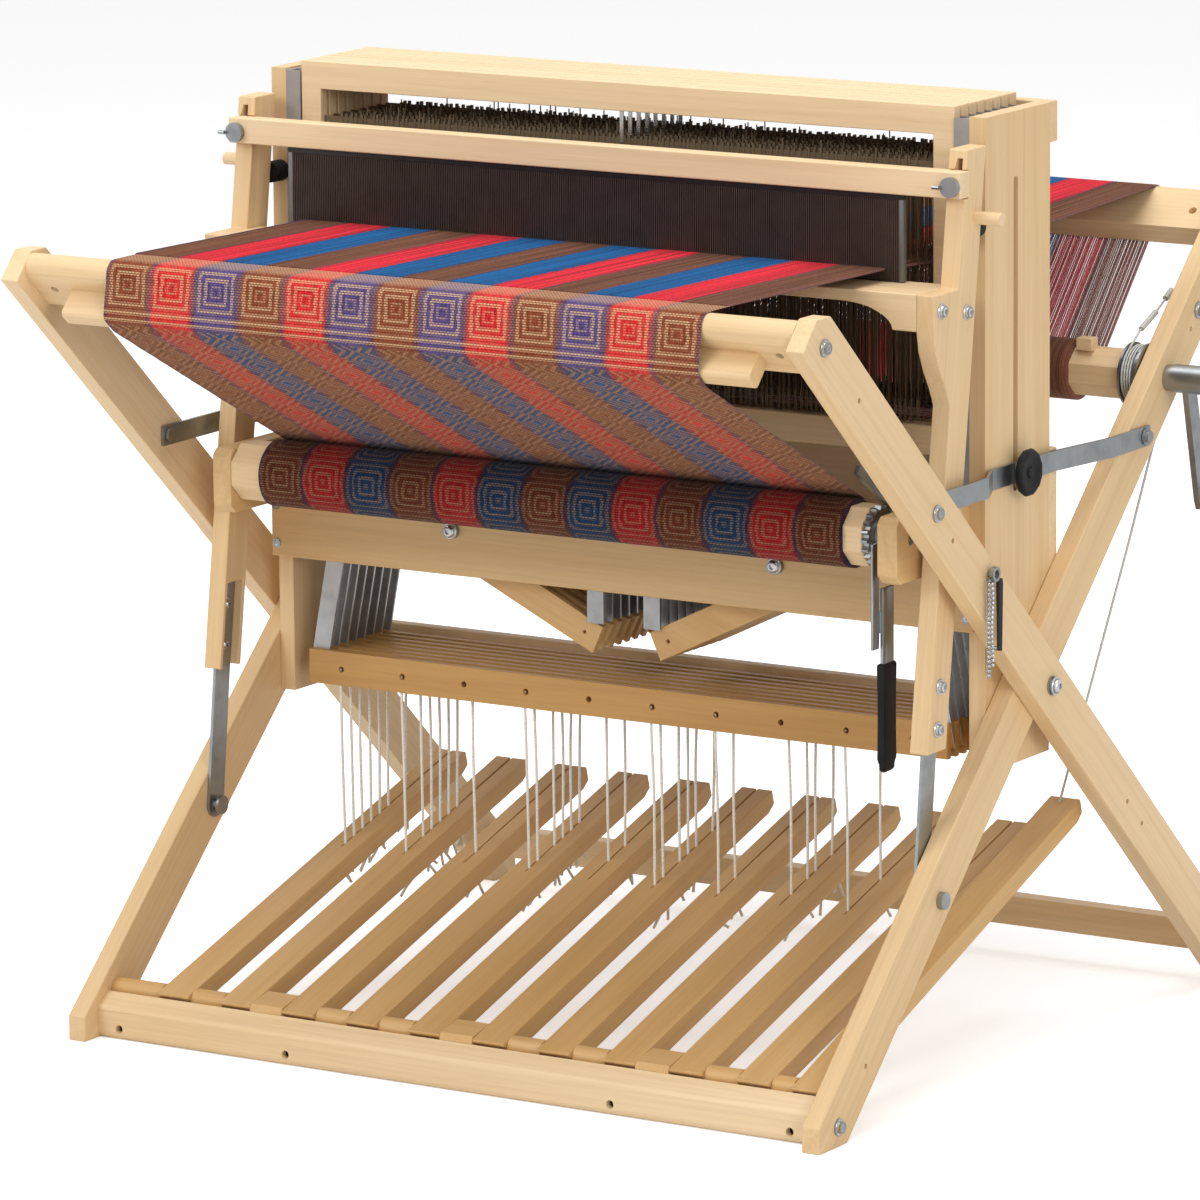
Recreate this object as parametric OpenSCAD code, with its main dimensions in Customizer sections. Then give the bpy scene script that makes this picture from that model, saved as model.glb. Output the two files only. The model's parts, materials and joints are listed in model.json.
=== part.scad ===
// Folding eight-shaft jack floor loom.
// The origin is on the floor, on the middle plane, under the front floor bar.
// X runs across the loom, Y from the weaver to the back, Z up. Sizes are in millimetres.

/* [Frame] */
// Gap between the cloth's edge and a castle side
side_room = 55.5; // [50:0.5:60]
// Height of the leg pivot above the floor
pivot_z = 353.8; // [335:0.1:370]
// Angle of the legs that carry the breast beam, from the floor
leg_a_angle = 42.3; // [40:0.1:44]
// Angle of the legs that carry the back beam, from the floor
leg_b_angle = 43.0; // [41:0.1:45]
// Width of a leg
leg_w = 51; // [44:0.5:56]
// Thickness of a leg
leg_t = 18.7; // [15:0.1:22]
// Distance from the leg pivot to the beam bolts
beam_reach = 554.5; // [535:0.5:575]
// Thickness of the breast beam and back beam boards
beam_t = 26; // [20:0.5:30]
// Depth of the breast beam and back beam boards
beam_d = 54; // [46:0.5:60]
// Distance from the pivot's plane to the front end of a foot
foot_reach = 391; // [380:1:400]

/* [Castle] */
// Thickness of a castle side
side_t = 16.4; // [12:0.1:20]
// Depth of a castle side
side_d = 122; // [118:0.5:140]
// Height of the castle's lower edge
castle_bottom = 277; // [265:1:285]
// Height of the castle's upper edge
castle_top = 880.8; // [870:0.1:900]
// Width of the slot that guides the folding bolt
slot_w = 8.4; // [7.5:0.1:10]
// Thickness of the castle's boards
board_t = 14.6; // [10:0.1:18]
// Height of the apron board
apron_h = 59; // [50:1:65]

/* [Shafts] */
// Number of shafts
shaft_count = 8; // [2:2:8]
// Distance from one shaft to the next
shaft_pitch = 15; // [14:0.1:15.2]
// Thickness of a shaft
shaft_t = 11.5; // [9:0.1:12]
// Height of a shaft from its lower to its upper edge
shaft_h = 321; // [300:1:330]
// Height of a shaft's rails
rail_h = 26.5; // [20:0.5:32]
// Width of a shaft's stiles
stile_w = 22; // [16:0.5:28]
// Height of a lamm
lamm_h = 33; // [26:0.5:38]
// Thickness of a lamm and of a jack
slat_t = 7; // [5:0.1:7.4]

/* [Treadles] */
// Number of treadles
treadle_count = 10; // [2:2:10]
// Gap between the last treadle and the brake pedal
pedal_gap = 22.9; // [20:0.1:40]
// Width of a treadle
treadle_w = 34; // [26:0.5:40]
// Thickness of a treadle
treadle_t = 19; // [14:0.5:21]
// Diameter of the rod that the treadles turn on
rod_d = 8; // [6:0.1:9]

/* [Beater] */
// Thickness of a sword
sword_t = 19; // [15:0.5:20]
// Width of a sword
sword_w = 34.5; // [30:0.5:38]
// Length by which the reed stands out past the cloth
reed_past = 17.9; // [12:0.1:24]
// Height of the hand tree
hand_tree_h = 24.3; // [20:0.1:30]

/* [Beams] */
// Width of the cloth beam across its flats
cloth_beam_w = 54; // [46:0.5:58]
// Diameter of the cloth roll
cloth_roll_d = 63; // [60:0.5:64]
// Width of the warp beam across its flats
warp_beam_w = 45; // [38:0.5:50]
// Diameter of the warp roll
warp_roll_d = 58; // [53:0.5:60]
// Diameter of the brake drum's core
drum_d = 54; // [48:0.5:58]
// Number of teeth on the ratchet wheel
ratchet_teeth = 20; // [12:1:30]
// Half of the width of the cloth
cloth_half = 315.5; // [250:0.5:316]

/* [Hidden] */
$fn = 32;

// Gaps: between pieces that move past each other, in a turning fit, and of cloth over wood
slide_gap = 0.3;
turn_gap = 0.06;
cloth_gap = 0.5;
tiny = 0.01;

// Planes across the loom, from the middle outwards
castle_half = cloth_half + side_room;
side_out = castle_half + side_t;
leg_b_in = side_out + slide_gap;
leg_b_out = leg_b_in + leg_t;
leg_a_in = leg_b_out + slide_gap;
leg_a_out = leg_a_in + leg_t;

// The front floor bar's underside, and how far the leg pivot stands behind its middle
bar_back_y = 345;
bar_front_y = 370;
bar_round = 8;
pivot_y = (bar_back_y + bar_front_y - bar_round) / 2;

// Castle planes, measured from the leg pivot
side_front = -57;
side_back = side_front + side_d;
board_back = side_back + board_t;
apron_t = 17;
apron_front = side_front - apron_t;
apron_bottom = 411;
apron_top = apron_bottom + apron_h;
top_board_low = 843.7;
low_board_low = 425;
low_board_high = 560;
tie_low = 285;
tie_high = 325;

// Slot bolt travel
link_r = 289;
slot_bolt_r = 4;
slot_z0 = 549.5;
slot_z1 = 815;

// Jack pivots
jack_x = castle_half / 2 - 8;
jack_out = castle_half - 43;
jack_z = 454.4;
jack_pin_r = 4;

// Shaft places
shaft_bottom = 568;
shaft_top = shaft_bottom + shaft_h;
shaft_half = castle_half - 16.5;
first_shaft = side_front + 7.5;
heddle_low = shaft_bottom + 38;
heddle_high = shaft_top - 56;
eye_low = 731;
eye_high = 750;
heddle_count = 22;
heddle_w = 3;
metal_t = 2.5;

// Lamms
lamm_half = castle_half - 20;
lamm_low = 288;
lamm_hole_z = lamm_low + 16;

// Treadles: the rod's axis, and the slope of the top faces at rest
rod_y = -337;
rod_z = 41;
treadle_slope = 16.4;
treadle_back = 130;
tube_r = 10.5;
pedal_in = castle_half - 17;
treadle_pitch = 2 * (pedal_in - pedal_gap - treadle_w / 2) / (treadle_count - 1);
pedal_w = 32;
pedal_slope = 19.6;
pedal_back = 130;

// Beater: the straps turn on this axis, and the swords lean back from it
strap_y = -174;
strap_z = 186;
sword_in = castle_half + 4.6;
sword_out = sword_in + sword_t;
sword_low = 318;
sword_top = 858;
race_top = 734;
race_front = -163;
reed_y = -108;
reed_t = 6;
reed_half = cloth_half + reed_past;
hand_low = sword_top - 43;
peg_z = hand_low - 20.3;
hand_front = -118.5;

// Cloth beam and warp beam axes
cloth_axis = [-163.5, 512];
cloth_beam_in = castle_half - 21;
wheel_in = cloth_beam_in - 15.5;
wheel_t = 6.5;
wheel_r = 28;
axle_r = 6;
arm_out = castle_half;
axle_end = castle_half - 1;
arm_in = castle_half - 20.7;
warp_reach = 359.2;
warp_axis = along(leg_b_angle, warp_reach, 0);
warp_beam_right = castle_half - 3;
drum_w = 19;
warp_axle_r = 8;

// A point at distance u along a leg from the pivot, and n square to it, as [y, z]
function along(angle, u, n) =
    [u * cos(angle) - n * sin(angle), pivot_z + u * sin(angle) + n * cos(angle)];
// The same on the legs that lean forward, so n still points up
function along_a(u, n) = let (p = along(leg_a_angle, u, n)) [-p[0], p[1]];
function along_b(u, n) = along(leg_b_angle, u, n);
function shaft_y(i) = first_shaft + shaft_pitch * i;
function treadle_x(i) = (i - (treadle_count + 1) / 2) * treadle_pitch;
function unit(v) = v / norm(v);
// Points on an arc from one angle to another
function arc(c, r, a0, a1, steps) =
    [for (i = [0 : steps]) let (a = a0 + (a1 - a0) * i / steps) c + r * [cos(a), sin(a)]];
// Outline of a thin band that follows points p, and lies t to their left
function side_dir(p, i) =
    let (a = i == 0 ? p[1] - p[0] : p[i] - p[i - 1],
         b = i == len(p) - 1 ? p[i] - p[i - 1] : p[i + 1] - p[i],
         m = unit(unit(a) + unit(b)),
         k = 1 / max(0.5, m * unit(a)))
    k * [-m[1], m[0]];
function band(p, t) =
    concat(p, [for (i = [len(p) - 1 : -1 : 0]) p[i] + t * side_dir(p, i)]);
// Places the children, which are drawn around the leg pivot's plane
module set_down() {
    translate([0, pivot_y, 0]) children();
}
// Extrudes an outline in [y, z] across the loom, from x0 on
module plate(x0, t) {
    translate([x0, 0, 0]) rotate([90, 0, 90]) linear_extrude(t) children();
}
// Extrudes an outline in [x, z] towards the back, from y0 on
module front_plate(y0, t) {
    translate([0, y0 + t, 0]) rotate([90, 0, 0]) linear_extrude(t) children();
}
// A round bar along X
module bar_x(x0, x1, r, p) {
    translate([x0, p[0], p[1]]) rotate([0, 90, 0]) cylinder(r = r, h = x1 - x0);
}
// A round bar along Y
module bar_y(x, z, y0, y1, r) {
    translate([x, y0, z]) rotate([-90, 0, 0]) cylinder(r = r, h = y1 - y0);
}
module box(lo, hi) {
    translate(lo) cube(hi - lo);
}
// The same piece on the left and on the right
module both_sides() {
    children();
    mirror([1, 0, 0]) children();
}
// A tube of eight sides swept along points
module sweep(p, r, sides = 8) {
    n = len(p);
    function tangent(i) = unit(i == 0 ? p[1] - p[0] : i == n - 1 ? p[i] - p[i - 1]
        : unit(p[i] - p[i - 1]) + unit(p[i + 1] - p[i]));
    function side_of(i) = let (t = tangent(i), up = abs(t[0]) < 0.9 ? [1, 0, 0] : [0, 1, 0])
        unit(cross(t, up));
    pts = [for (i = [0 : n - 1]) let (t = tangent(i), s = side_of(i), b = cross(t, s))
        for (k = [0 : sides - 1]) let (a = 360 * k / sides)
            p[i] + r * (cos(a) * s + sin(a) * b)];
    walls = [for (i = [0 : n - 2]) for (k = [0 : sides - 1])
        let (a = i * sides + k, b = i * sides + (k + 1) % sides)
            each [[b + sides, b, a], [a + sides, b + sides, a]]];
    last = (n - 1) * sides;
    caps = [for (k = [1 : sides - 2])
        each [[k, k + 1, 0], [last + k + 1, last + k, last]]];
    polyhedron(pts, concat(walls, caps), convexity = 6);
}

// Castle

module castle_sides() {
    low_z = slot_z0 - 14;
    high_z = slot_z1 + 2;
    color("wheat") set_down() both_sides() difference() {
        box([castle_half, side_front, castle_bottom], [side_out, side_back, castle_top]);
        for (z = [low_z, high_z])
            bar_x(castle_half - 1, side_out + 1, slot_w / 2, [0, z]);
        box([castle_half - 1, -slot_w / 2, low_z], [side_out + 1, slot_w / 2, high_z]);
        bar_x(castle_half - 1, side_out + 1, pivot_bolt_r, [0, pivot_z]);
    }
}

module castle_boards() {
    color("wheat") set_down() {
        box([-side_out, side_back, top_board_low], [side_out, board_back, castle_top + 0.8]);
        difference() {
            box([-side_out, side_back, low_board_low], [side_out, board_back, low_board_high]);
            for (s = [-1, 1])
                bar_y(s * jack_x, jack_z, side_back - 1, board_back + 1, jack_pin_r);
        }
        box([-side_out, side_back, tie_low], [side_out, board_back, tie_high]);
    }
}

module apron_board() {
    half = side_out - 3.4;
    color("burlywood") set_down() difference() {
        box([-half, apron_front, apron_bottom], [half, side_front, apron_top]);
        for (s = [-1, 1])
            bar_y(s * jack_x, jack_z, apron_front - 1, side_front + 1, jack_pin_r);
    }
}

// Plastic combs that keep the shafts apart, and the rubber bumpers of the beater
module guides_and_bumpers() {
    base = castle_half - 4.6;
    edge = castle_half;
    low = 540;
    high = castle_top - 1.8;
    head_room = 11;
    fin = 1.6;
    fin_in = shaft_half - 8;
    bumper_x = castle_half + 7.5;
    bumper_z = 782.5;
    color("gray") set_down() both_sides() {
        box([base, side_front, low], [edge, -head_room, high]);
        box([base, head_room, low], [edge, side_back, high]);
        box([base, -head_room, slot_z1 + 17], [edge, head_room, high]);
        box([base, -19, 520], [edge, side_back, 539]);
        box([castle_half - 16, side_front, low], [base, side_front + 1.4, high]);
        for (i = [0 : shaft_count - 2])
            let (y = shaft_y(i) + shaft_pitch / 2 - fin / 2)
                box([fin_in, y, i > 2 ? 520 : low], [base, y + fin, high]);
    }
    color("black") set_down() both_sides()
        bar_y(bumper_x, bumper_z, rear_edge(bumper_z + 10) + slide_gap, side_front, 10);
}

module cloth_beam_arms() {
    front = cloth_axis[0] - 26.5;
    back = side_front + 37;
    low = cloth_axis[1] - 39;
    high = cloth_axis[1] + 22.5;
    outline = [[front + 8, low], [back, low], [back, high], [front + 6, high],
        [front, high - 6.5], [front, low + 8]];
    color("wheat") set_down() {
        difference() {
            plate(arm_in, arm_out - arm_in) polygon(outline);
            bar_x(arm_in - 1, arm_out + 1, axle_r + turn_gap, cloth_axis);
            bar_x(arm_in - 1, arm_in + 12, 3, pawl_pin);
        }
        mirror([1, 0, 0]) difference() {
            plate(arm_in, arm_out - arm_in) polygon(outline);
            bar_x(arm_in - 1, arm_out + 1, axle_r + turn_gap, cloth_axis);
        }
    }
}

pivot_bolt_r = 5;
// Screws of the apron, jack rods, pivot bolts of the legs and the pawl's pin
module castle_hardware() {
    washer_t = 1.6;
    color("silver") set_down() {
        for (s = [-1, 1]) {
            bar_y(s * jack_x, jack_z, apron_front - 4, board_back + 1, jack_pin_r);
            bar_y(s * jack_x, jack_z, apron_front - 5, apron_front, 8);
            for (z = [424, 461])
                bar_y(s * (side_out - 9.4), z, apron_front - 1.6, apron_front, 4.5);
        }
        both_sides() {
            bar_x(castle_half - 5, leg_a_out + slide_gap + 5, pivot_bolt_r, [0, pivot_z]);
            bar_x(castle_half - 5, castle_half, 8, [0, pivot_z]);
            bar_x(leg_a_out + slide_gap, leg_a_out + slide_gap + washer_t, 9, [0, pivot_z]);
            bar_x(leg_a_out + slide_gap + washer_t, leg_a_out + slide_gap + 6, 7, [0, pivot_z]);
        }
        bar_x(wheel_in + 1, arm_in + 12, 3, pawl_pin);
    }
}

// Legs

// A leg's outline in [y, z], lying along the positive Y direction
module leg_outline(angle, end_u) {
    tail = 620;
    intersection() {
        translate([0, pivot_z]) rotate(angle) translate([-tail, -leg_w / 2])
            square([tail + end_u, leg_w]);
        translate([-foot_reach, 0]) square([2 * foot_reach + 70, pivot_z + 398]);
    }
}

module legs_a() {
    holes = [473, 247.8, -202.4, -242];
    color("wheat") set_down() both_sides() difference() {
        plate(leg_a_in, leg_t) mirror([1, 0]) leg_outline(leg_a_angle, beam_reach + 26.5);
        bar_x(leg_a_in - 1, leg_a_out + 1, pivot_bolt_r + turn_gap, [0, pivot_z]);
        bar_x(leg_a_in - 1, leg_a_out + 1, 3.5, along_a(link_r, 0));
        bar_x(leg_a_in - 1, leg_a_out + 1, 3.5, along_a(beam_reach, -2));
        for (u = holes)
            bar_x(leg_a_out - 8, leg_a_out + 1, 2.6, along_a(u, -2));
    }
}

module legs_b() {
    holes = [419.5, -424.7];
    color("wheat") set_down() both_sides() difference() {
        plate(leg_b_in, leg_t) leg_outline(leg_b_angle, beam_reach + 26.5);
        bar_x(leg_b_in - 1, leg_b_out + 1, pivot_bolt_r + turn_gap, [0, pivot_z]);
        bar_x(leg_b_in - 1, leg_b_out + 1, 3.5, along_b(link_r, 0));
        bar_x(leg_b_in - 1, leg_b_out + 1, 3.5, along_b(beam_reach, -2));
        bar_x(leg_b_in - 1, leg_b_out + 1, warp_axle_r + turn_gap, warp_axis);
        bar_x(leg_b_in - 1, leg_b_out + 1, pivot_bolt_r + turn_gap, [strap_y, strap_z]);
        for (u = holes)
            bar_x(leg_b_out - 8, leg_b_out + 1, 2.6, along_b(u, -2));
    }
}

// Outline of a beam board with a round nose, in a leg's own directions
module beam_outline() {
    nose = beam_reach + 26.5 - beam_t / 2;
    back = beam_reach + 26.5 - beam_d;
    polygon(concat([[back, -beam_t / 2]], arc([nose, 0], beam_t / 2, -90, 90, 16),
        [[back, beam_t / 2]]));
}

bar_w = 27;
bolt_depth = 20;
module breast_beam() {
    board_half = leg_a_in;
    bar_half = castle_half - 6;
    color("wheat") set_down() {
        difference() {
            plate(-board_half, 2 * board_half) mirror([1, 0])
                translate([0, pivot_z]) rotate(leg_a_angle) beam_outline();
            for (s = [-1, 1])
                translate([s * (castle_half + 13.9), 0, 0]) beam_dowel_hole();
            both_sides()
                bar_x(board_half - bolt_depth, board_half + 1, 3.5, along_a(beam_reach, -2));
        }
        plate(-bar_half, 2 * bar_half) mirror([1, 0]) translate([0, pivot_z])
            rotate(leg_a_angle) polygon(concat(
                [[beam_reach - 18, 1 - beam_t / 2], [beam_reach - 18, -beam_t / 2 - bar_w + 5]],
                arc([beam_reach - 13, -beam_t / 2 - bar_w + 5], 5, 180, 270, 5),
                arc([beam_reach - 4, -beam_t / 2 - bar_w + 5], 5, 270, 360, 5),
                [[beam_reach + 1, 1 - beam_t / 2]]));
    }
}

// A blind hole for a cross dowel in the breast beam's lower face
module beam_dowel_hole() {
    p = along_a(beam_reach - 1.5, -beam_t / 2 - 1);
    translate([0, p[0], p[1]]) rotate([-leg_a_angle, 0, 0])
        cylinder(r = 4, h = 9);
}

module back_beam() {
    color("wheat") set_down() difference() {
        plate(-leg_b_in, 2 * leg_b_in) translate([0, pivot_z]) rotate(leg_b_angle)
            beam_outline();
        for (s = [-1, 1]) {
            p = along_b(beam_reach - 6, beam_t / 2 + 1);
            translate([s * (castle_half - 7), p[0], p[1]]) rotate([leg_b_angle + 180, 0, 0])
                cylinder(r = 4, h = 9);
        }
        both_sides()
            bar_x(leg_b_in - bolt_depth, leg_b_in + 1, 3.5, along_b(beam_reach, -2));
    }
}

// The bar across the front feet: a slanted upper face, then a rounded front
module front_floor_bar() {
    top = [-352.7, 42];
    color("wheat") set_down() difference() {
        plate(-leg_b_in, 2 * leg_b_in) polygon(concat(
            [[-335, 22.6], top], arc([bar_round - bar_front_y, 26], bar_round, 133, 180, 6),
            arc([bar_round - bar_front_y, bar_round], bar_round, 180, 270, 6),
            [[-bar_back_y, 0]]));
        for (x = [castle_half - 7.6, castle_half - 195], s = [-1, 1])
            bar_y(s * x, 11, -bar_front_y - 1, -bar_front_y + 7, 4);
    }
}

module rear_floor_bar() {
    lo = [foot_reach - 56, 31];
    hi = [foot_reach - 36, 60];
    color("wheat") set_down()
        plate(-leg_a_in, 2 * leg_a_in) polygon([lo, [hi[0], lo[1]], hi, [lo[0], hi[1]]]);
}

// A domed bolt head on a washer, standing out from x
module bolt_head(x, p) {
    bar_x(x, x + 1.5, 8, p);
    bar_x(x + 1.5, x + 5, 5.5, p);
}

// Bolts of the breast beam, the front links and the rear bar, with the lock's eye bolt and chain
module frame_a_hardware() {
    bead = 3.2;
    color("silver") set_down() {
        both_sides() {
            bolt_head(leg_a_out, along_a(beam_reach, -2));
            bar_x(leg_a_in - bolt_depth, leg_a_out + 1, 3.5, along_a(beam_reach, -2));
            bolt_head(leg_a_out, along_a(link_r, 0));
            bar_x(leg_a_in - 7, leg_a_out + 1, 3.5, along_a(link_r, 0));
            bar_x(leg_a_in - 7, leg_a_in - 3.8, 6.5, along_a(link_r, 0));
            bolt_head(leg_a_out, [foot_reach - 46, 45]);
        }
        eye_x = leg_a_out + 4;
        eye = along_a(171, 12.4);
        translate([eye_x, eye[0], eye[1]]) rotate([0, 90, 0]) difference() {
            cylinder(r = 7, h = 4);
            translate([0, 0, -1]) cylinder(r = 4, h = 6);
        }
        bar_x(leg_a_out, eye_x, 3, eye);
        for (i = [0 : 19])
            bar_x(eye_x, eye_x + bead, bead / 2, eye - [10, 8 + 4.4 * i]);
        box([eye_x, eye[0] - 11, eye[1] - 94], [eye_x + 1, eye[0] - 9, eye[1] - 4]);
        box([eye_x, eye[0] - 12, eye[1] - 5], [eye_x + 2, eye[0], eye[1] - 3]);
        bar_x(leg_a_out, leg_a_out + 6, 2, eye + [10, -70]);
        box([eye_x, eye[0] + 8, eye[1] - 71], [eye_x + 3, eye[0] + 11, eye[1] - 6]);
    }
}

module frame_b_hardware() {
    color("silver") set_down() {
        both_sides() {
            bolt_head(leg_b_out, [-358, 18.4]);
            bolt_head(leg_b_out, along_b(441, 0));
            bar_x(leg_b_in, leg_b_out + 4, 3.5, along_b(link_r, 0));
            bolt_head(leg_b_out + 3.8, along_b(link_r, 0));
            bolt_head(leg_b_out, along_b(beam_reach, -2));
            bar_x(leg_b_in - bolt_depth, leg_b_out + 1, 3.5, along_b(beam_reach, -2));
        }
    }
}

// The rod of the treadles with its spacer tubes and three blocks
module treadle_rod() {
    half = treadle_w / 2;
    gap = 0.4;
    block_after = [2, 5, 8];
    last = treadle_x(treadle_count) + half;
    color("tan") set_down() difference() {
        union() {
            bar_x(-leg_b_in, leg_b_in, rod_d / 2, [rod_y, rod_z]);
            bar_x(-leg_b_in, treadle_x(1) - half - gap, tube_r, [rod_y, rod_z]);
            bar_x(last + gap, pedal_in - gap, tube_r, [rod_y, rod_z]);
            for (i = [1 : treadle_count - 1])
                bar_x(treadle_x(i) + half + gap, treadle_x(i + 1) - half - gap, tube_r,
                    [rod_y, rod_z]);
            for (i = block_after)
                if (i < treadle_count)
                    plate(treadle_x(i) + half + gap, treadle_pitch - treadle_w - 2 * gap)
                        polygon([[-352.6, 42], [-350, 49], [-322, 55], [-322, 30],
                            [-334.9, 22.7]]);
        }
    }
}

// Folding gear

module slot_bolts() {
    head = castle_half - 4.3;
    color("silver") set_down() both_sides() {
        bar_x(head, side_out + 0.9, slot_bolt_r, [0, slot_z0]);
        bar_x(head, castle_half - slide_gap, 8, [0, slot_z0]);
    }
}

link_w = 19;
link_t = 3;
// A folding link from the slot bolt out to a leg's bolt at p: flat, jog, flat
module link(x_in, x_out, jog0, jog1, p) {
    reach = norm(p - [0, slot_z0]);
    end = reach + link_w / 2;
    translate([0, 0, slot_z0]) rotate([asin((p[1] - slot_z0) / reach), 0, 0]) difference() {
        translate([0, 0, -link_w / 2]) linear_extrude(link_w) polygon([
            [x_in, -link_w / 2], [x_in, jog0], [x_out, jog1], [x_out, end],
            [x_out + link_t, end], [x_out + link_t, jog1], [x_in + link_t, jog0],
            [x_in + link_t, -link_w / 2]]);
        bar_x(x_in - 1, x_in + link_t + 1, slot_bolt_r + 0.3, [0, 0]);
        bar_x(x_out - 1, x_out + link_t + 1, 3.5 + turn_gap, [reach, 0]);
    }
}

link_gap = 0.4;
front_link_x = side_out + 1.2;
rear_link_x = front_link_x + link_t + link_gap;
module front_links() {
    p = along_a(link_r, 0);
    color("silver") set_down() both_sides() mirror([0, 1, 0])
        link(front_link_x, leg_a_in - link_t - link_gap, 50, 84, [-p[0], p[1]]);
}

module rear_links() {
    color("silver") set_down() both_sides()
        link(rear_link_x, leg_b_out + link_gap, 60, 146, along_b(link_r, 0));
}

// A round knob with a rounded rim on its own stud
module knob() {
    face = rear_link_x + link_t + slide_gap;
    color("black") set_down() {
        translate([face, 0, slot_z0]) rotate([0, 90, 0]) rotate_extrude() polygon(concat(
            [[0, 0], [10, 0], [10, 2]], arc([18.5, 6], 4, -90, 90, 8), [[0, 10]]));
        bar_x(rear_link_x, face, slot_bolt_r, [0, slot_z0]);
    }
}
module knob_right() {
    knob();
}
module knob_left() {
    mirror([1, 0, 0]) knob();
}

// Beater

module beater_pivots() {
    color("silver") set_down() both_sides() {
        bar_x(sword_in + 4, leg_b_out + 1, pivot_bolt_r, [strap_y, strap_z]);
        bar_x(sword_in + 1, sword_in + 4, 9, [strap_y, strap_z]);
        bar_x(leg_b_out + slide_gap, leg_b_out + 6, 8, [strap_y, strap_z]);
    }
}

// Sword outline in [y, z]: leaning back, with a bulge that carries the race beam
lean = (142 - 68.5) / (853 - 317);
function rear_edge(z) = -142 + (z - 317) * lean;
function front_edge(z) = rear_edge(z) - sword_w;
module sword_outline() {
    polygon(concat(
        [[rear_edge(sword_low), sword_low], [rear_edge(sword_top), sword_top],
         [front_edge(sword_top), sword_top], [front_edge(hand_low + hand_tree_h + 1),
         hand_low + hand_tree_h + 1], [-101.2, hand_low + hand_tree_h + 1],
         [-101.2, hand_low - 1], [front_edge(hand_low - 1), hand_low - 1],
         [front_edge(race_top), race_top], [race_front, race_top],
         [race_front, race_top - 34], [race_front + 3, race_top - 52],
         [race_front + 12, race_top - 72], [race_front + 22, race_top - 88],
         [front_edge(race_top - 104), race_top - 104]],
        [[front_edge(sword_low), sword_low]]));
}

strap_x = leg_b_in - 0.4 - 3;
module beater_swords() {
    recess_top = 399;
    color("wheat") set_down() both_sides() difference() {
        plate(sword_in, sword_t) sword_outline();
        strap_shape(sword_in - 1, strap_x + 3 + tiny - sword_in + 1, recess_top, 12.6);
        box([sword_in + 8, front_edge(sword_top - 8) - 9, hand_low + 2],
            [sword_in + 14, rear_edge(sword_top - 8) + 20, sword_top - 8]);
    }
}

// The flat strap that joins a sword's foot to its pivot
module strap_shape(x0, t, top, half) {
    top_y = rear_edge(top) - sword_w / 2;
    plate(x0, t) polygon([[strap_y - half, strap_z], [strap_y + half, strap_z],
        [rear_edge(sword_low) - sword_w / 2 + half, sword_low], [top_y + half, top],
        [top_y - half, top], [rear_edge(sword_low) - sword_w / 2 - half, sword_low]]);
}

module beater_hardware() {
    color("silver") set_down() both_sides() {
        difference() {
            union() {
                strap_shape(strap_x, 3, 398, 12);
                bar_x(strap_x, strap_x + 3, 12, [strap_y, strap_z]);
            }
            bar_x(strap_x - 1, strap_x + 4, pivot_bolt_r + turn_gap, [strap_y, strap_z]);
        }
        for (p = [[-153.5, 377.3], [-158.7, 339], [-150.7, 718.8], [-104.3, 711.4]]) {
            bar_x(sword_out, sword_out + 1.5, 7, p);
            bar_x(sword_out + 1.5, sword_out + 4.5, 5, p);
        }
        bar_y(sword_in + 11, hand_low + 10.7, hand_front - 5.5, hand_front, 9.2);
        bar_y(sword_in + 11, hand_low + 10.7, hand_front, rear_edge(hand_low + 11) + 4, 2.9);
    }
    color("silver") set_down() for (s = [-1, 1]) {
        x = s * (sword_in + 11);
        bar_x(x - 15, x - 8, 1.8, [hand_front - 8, hand_low + 10.7]);
        bar_y(x - 9, hand_low + 10.7, hand_front - 8, hand_front - 5.5, 1.8);
    }
}

// The race beam: a shelf that thickens into a bracket at each end
module race_beam() {
    half = sword_in;
    thin = 11;
    deep = 34;
    bend = 56;
    corner = half - 24;
    back = -98;
    curve = [for (i = [0 : 8]) let (a = 90 * i / 8)
        [corner - bend + bend * sin(a), race_top - thin - (deep - thin) * (1 - cos(a))]];
    right = concat(curve, [[half, race_top - deep], [half, race_top]]);
    left = [for (i = [len(right) - 1 : -1 : 0]) [-right[i][0], right[i][1]]];
    color("wheat") set_down() difference() {
        front_plate(race_front, back - race_front) polygon(concat(left, right));
        box([-reed_half, reed_y - reed_t / 2, race_top - 9],
            [reed_half, reed_y + reed_t / 2, race_top + 1]);
    }
}

// The hand tree, and the two pegs in the swords' upper ends
module hand_tree() {
    half = sword_out + 1.1;
    color("wheat") set_down() {
        difference() {
            box([-half, hand_front, hand_low], [half, -101.2, hand_low + hand_tree_h]);
            box([-reed_half, reed_y - reed_t / 2, hand_low - 1],
                [reed_half, reed_y + reed_t / 2, hand_low + 8]);
            both_sides()
                bar_y(sword_in + 11, hand_low + 10.7, hand_front - 1, -100, 2.9);
        }
        both_sides() bar_x(sword_out, sword_out + 26.6, 6, [-86.4, peg_z]);
    }
}

module reed() {
    low = race_top - 9;
    high = hand_low + 8;
    slit_low = race_top + 2;
    slit_high = slit_low + 26;
    color("dimgray") set_down() {
        difference() {
            box([-reed_half, reed_y - 1.2, low], [reed_half, reed_y + 1.2, high]);
            box([-cloth_half - 2, reed_y - 3, slit_low], [cloth_half + 2, reed_y + 3, slit_high]);
        }
        for (s = [-1, 1])
            box([s > 0 ? reed_half - 5 : -reed_half, reed_y - reed_t / 2, low],
                [s > 0 ? reed_half : 5 - reed_half, reed_y + reed_t / 2, high]);
        for (z = [low, high - 14])
            box([-reed_half, reed_y - reed_t / 2, z],
                [reed_half, reed_y + reed_t / 2, z + (z == low ? 10 : 14)]);
    }
}

// Shafts and what moves with them

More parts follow.
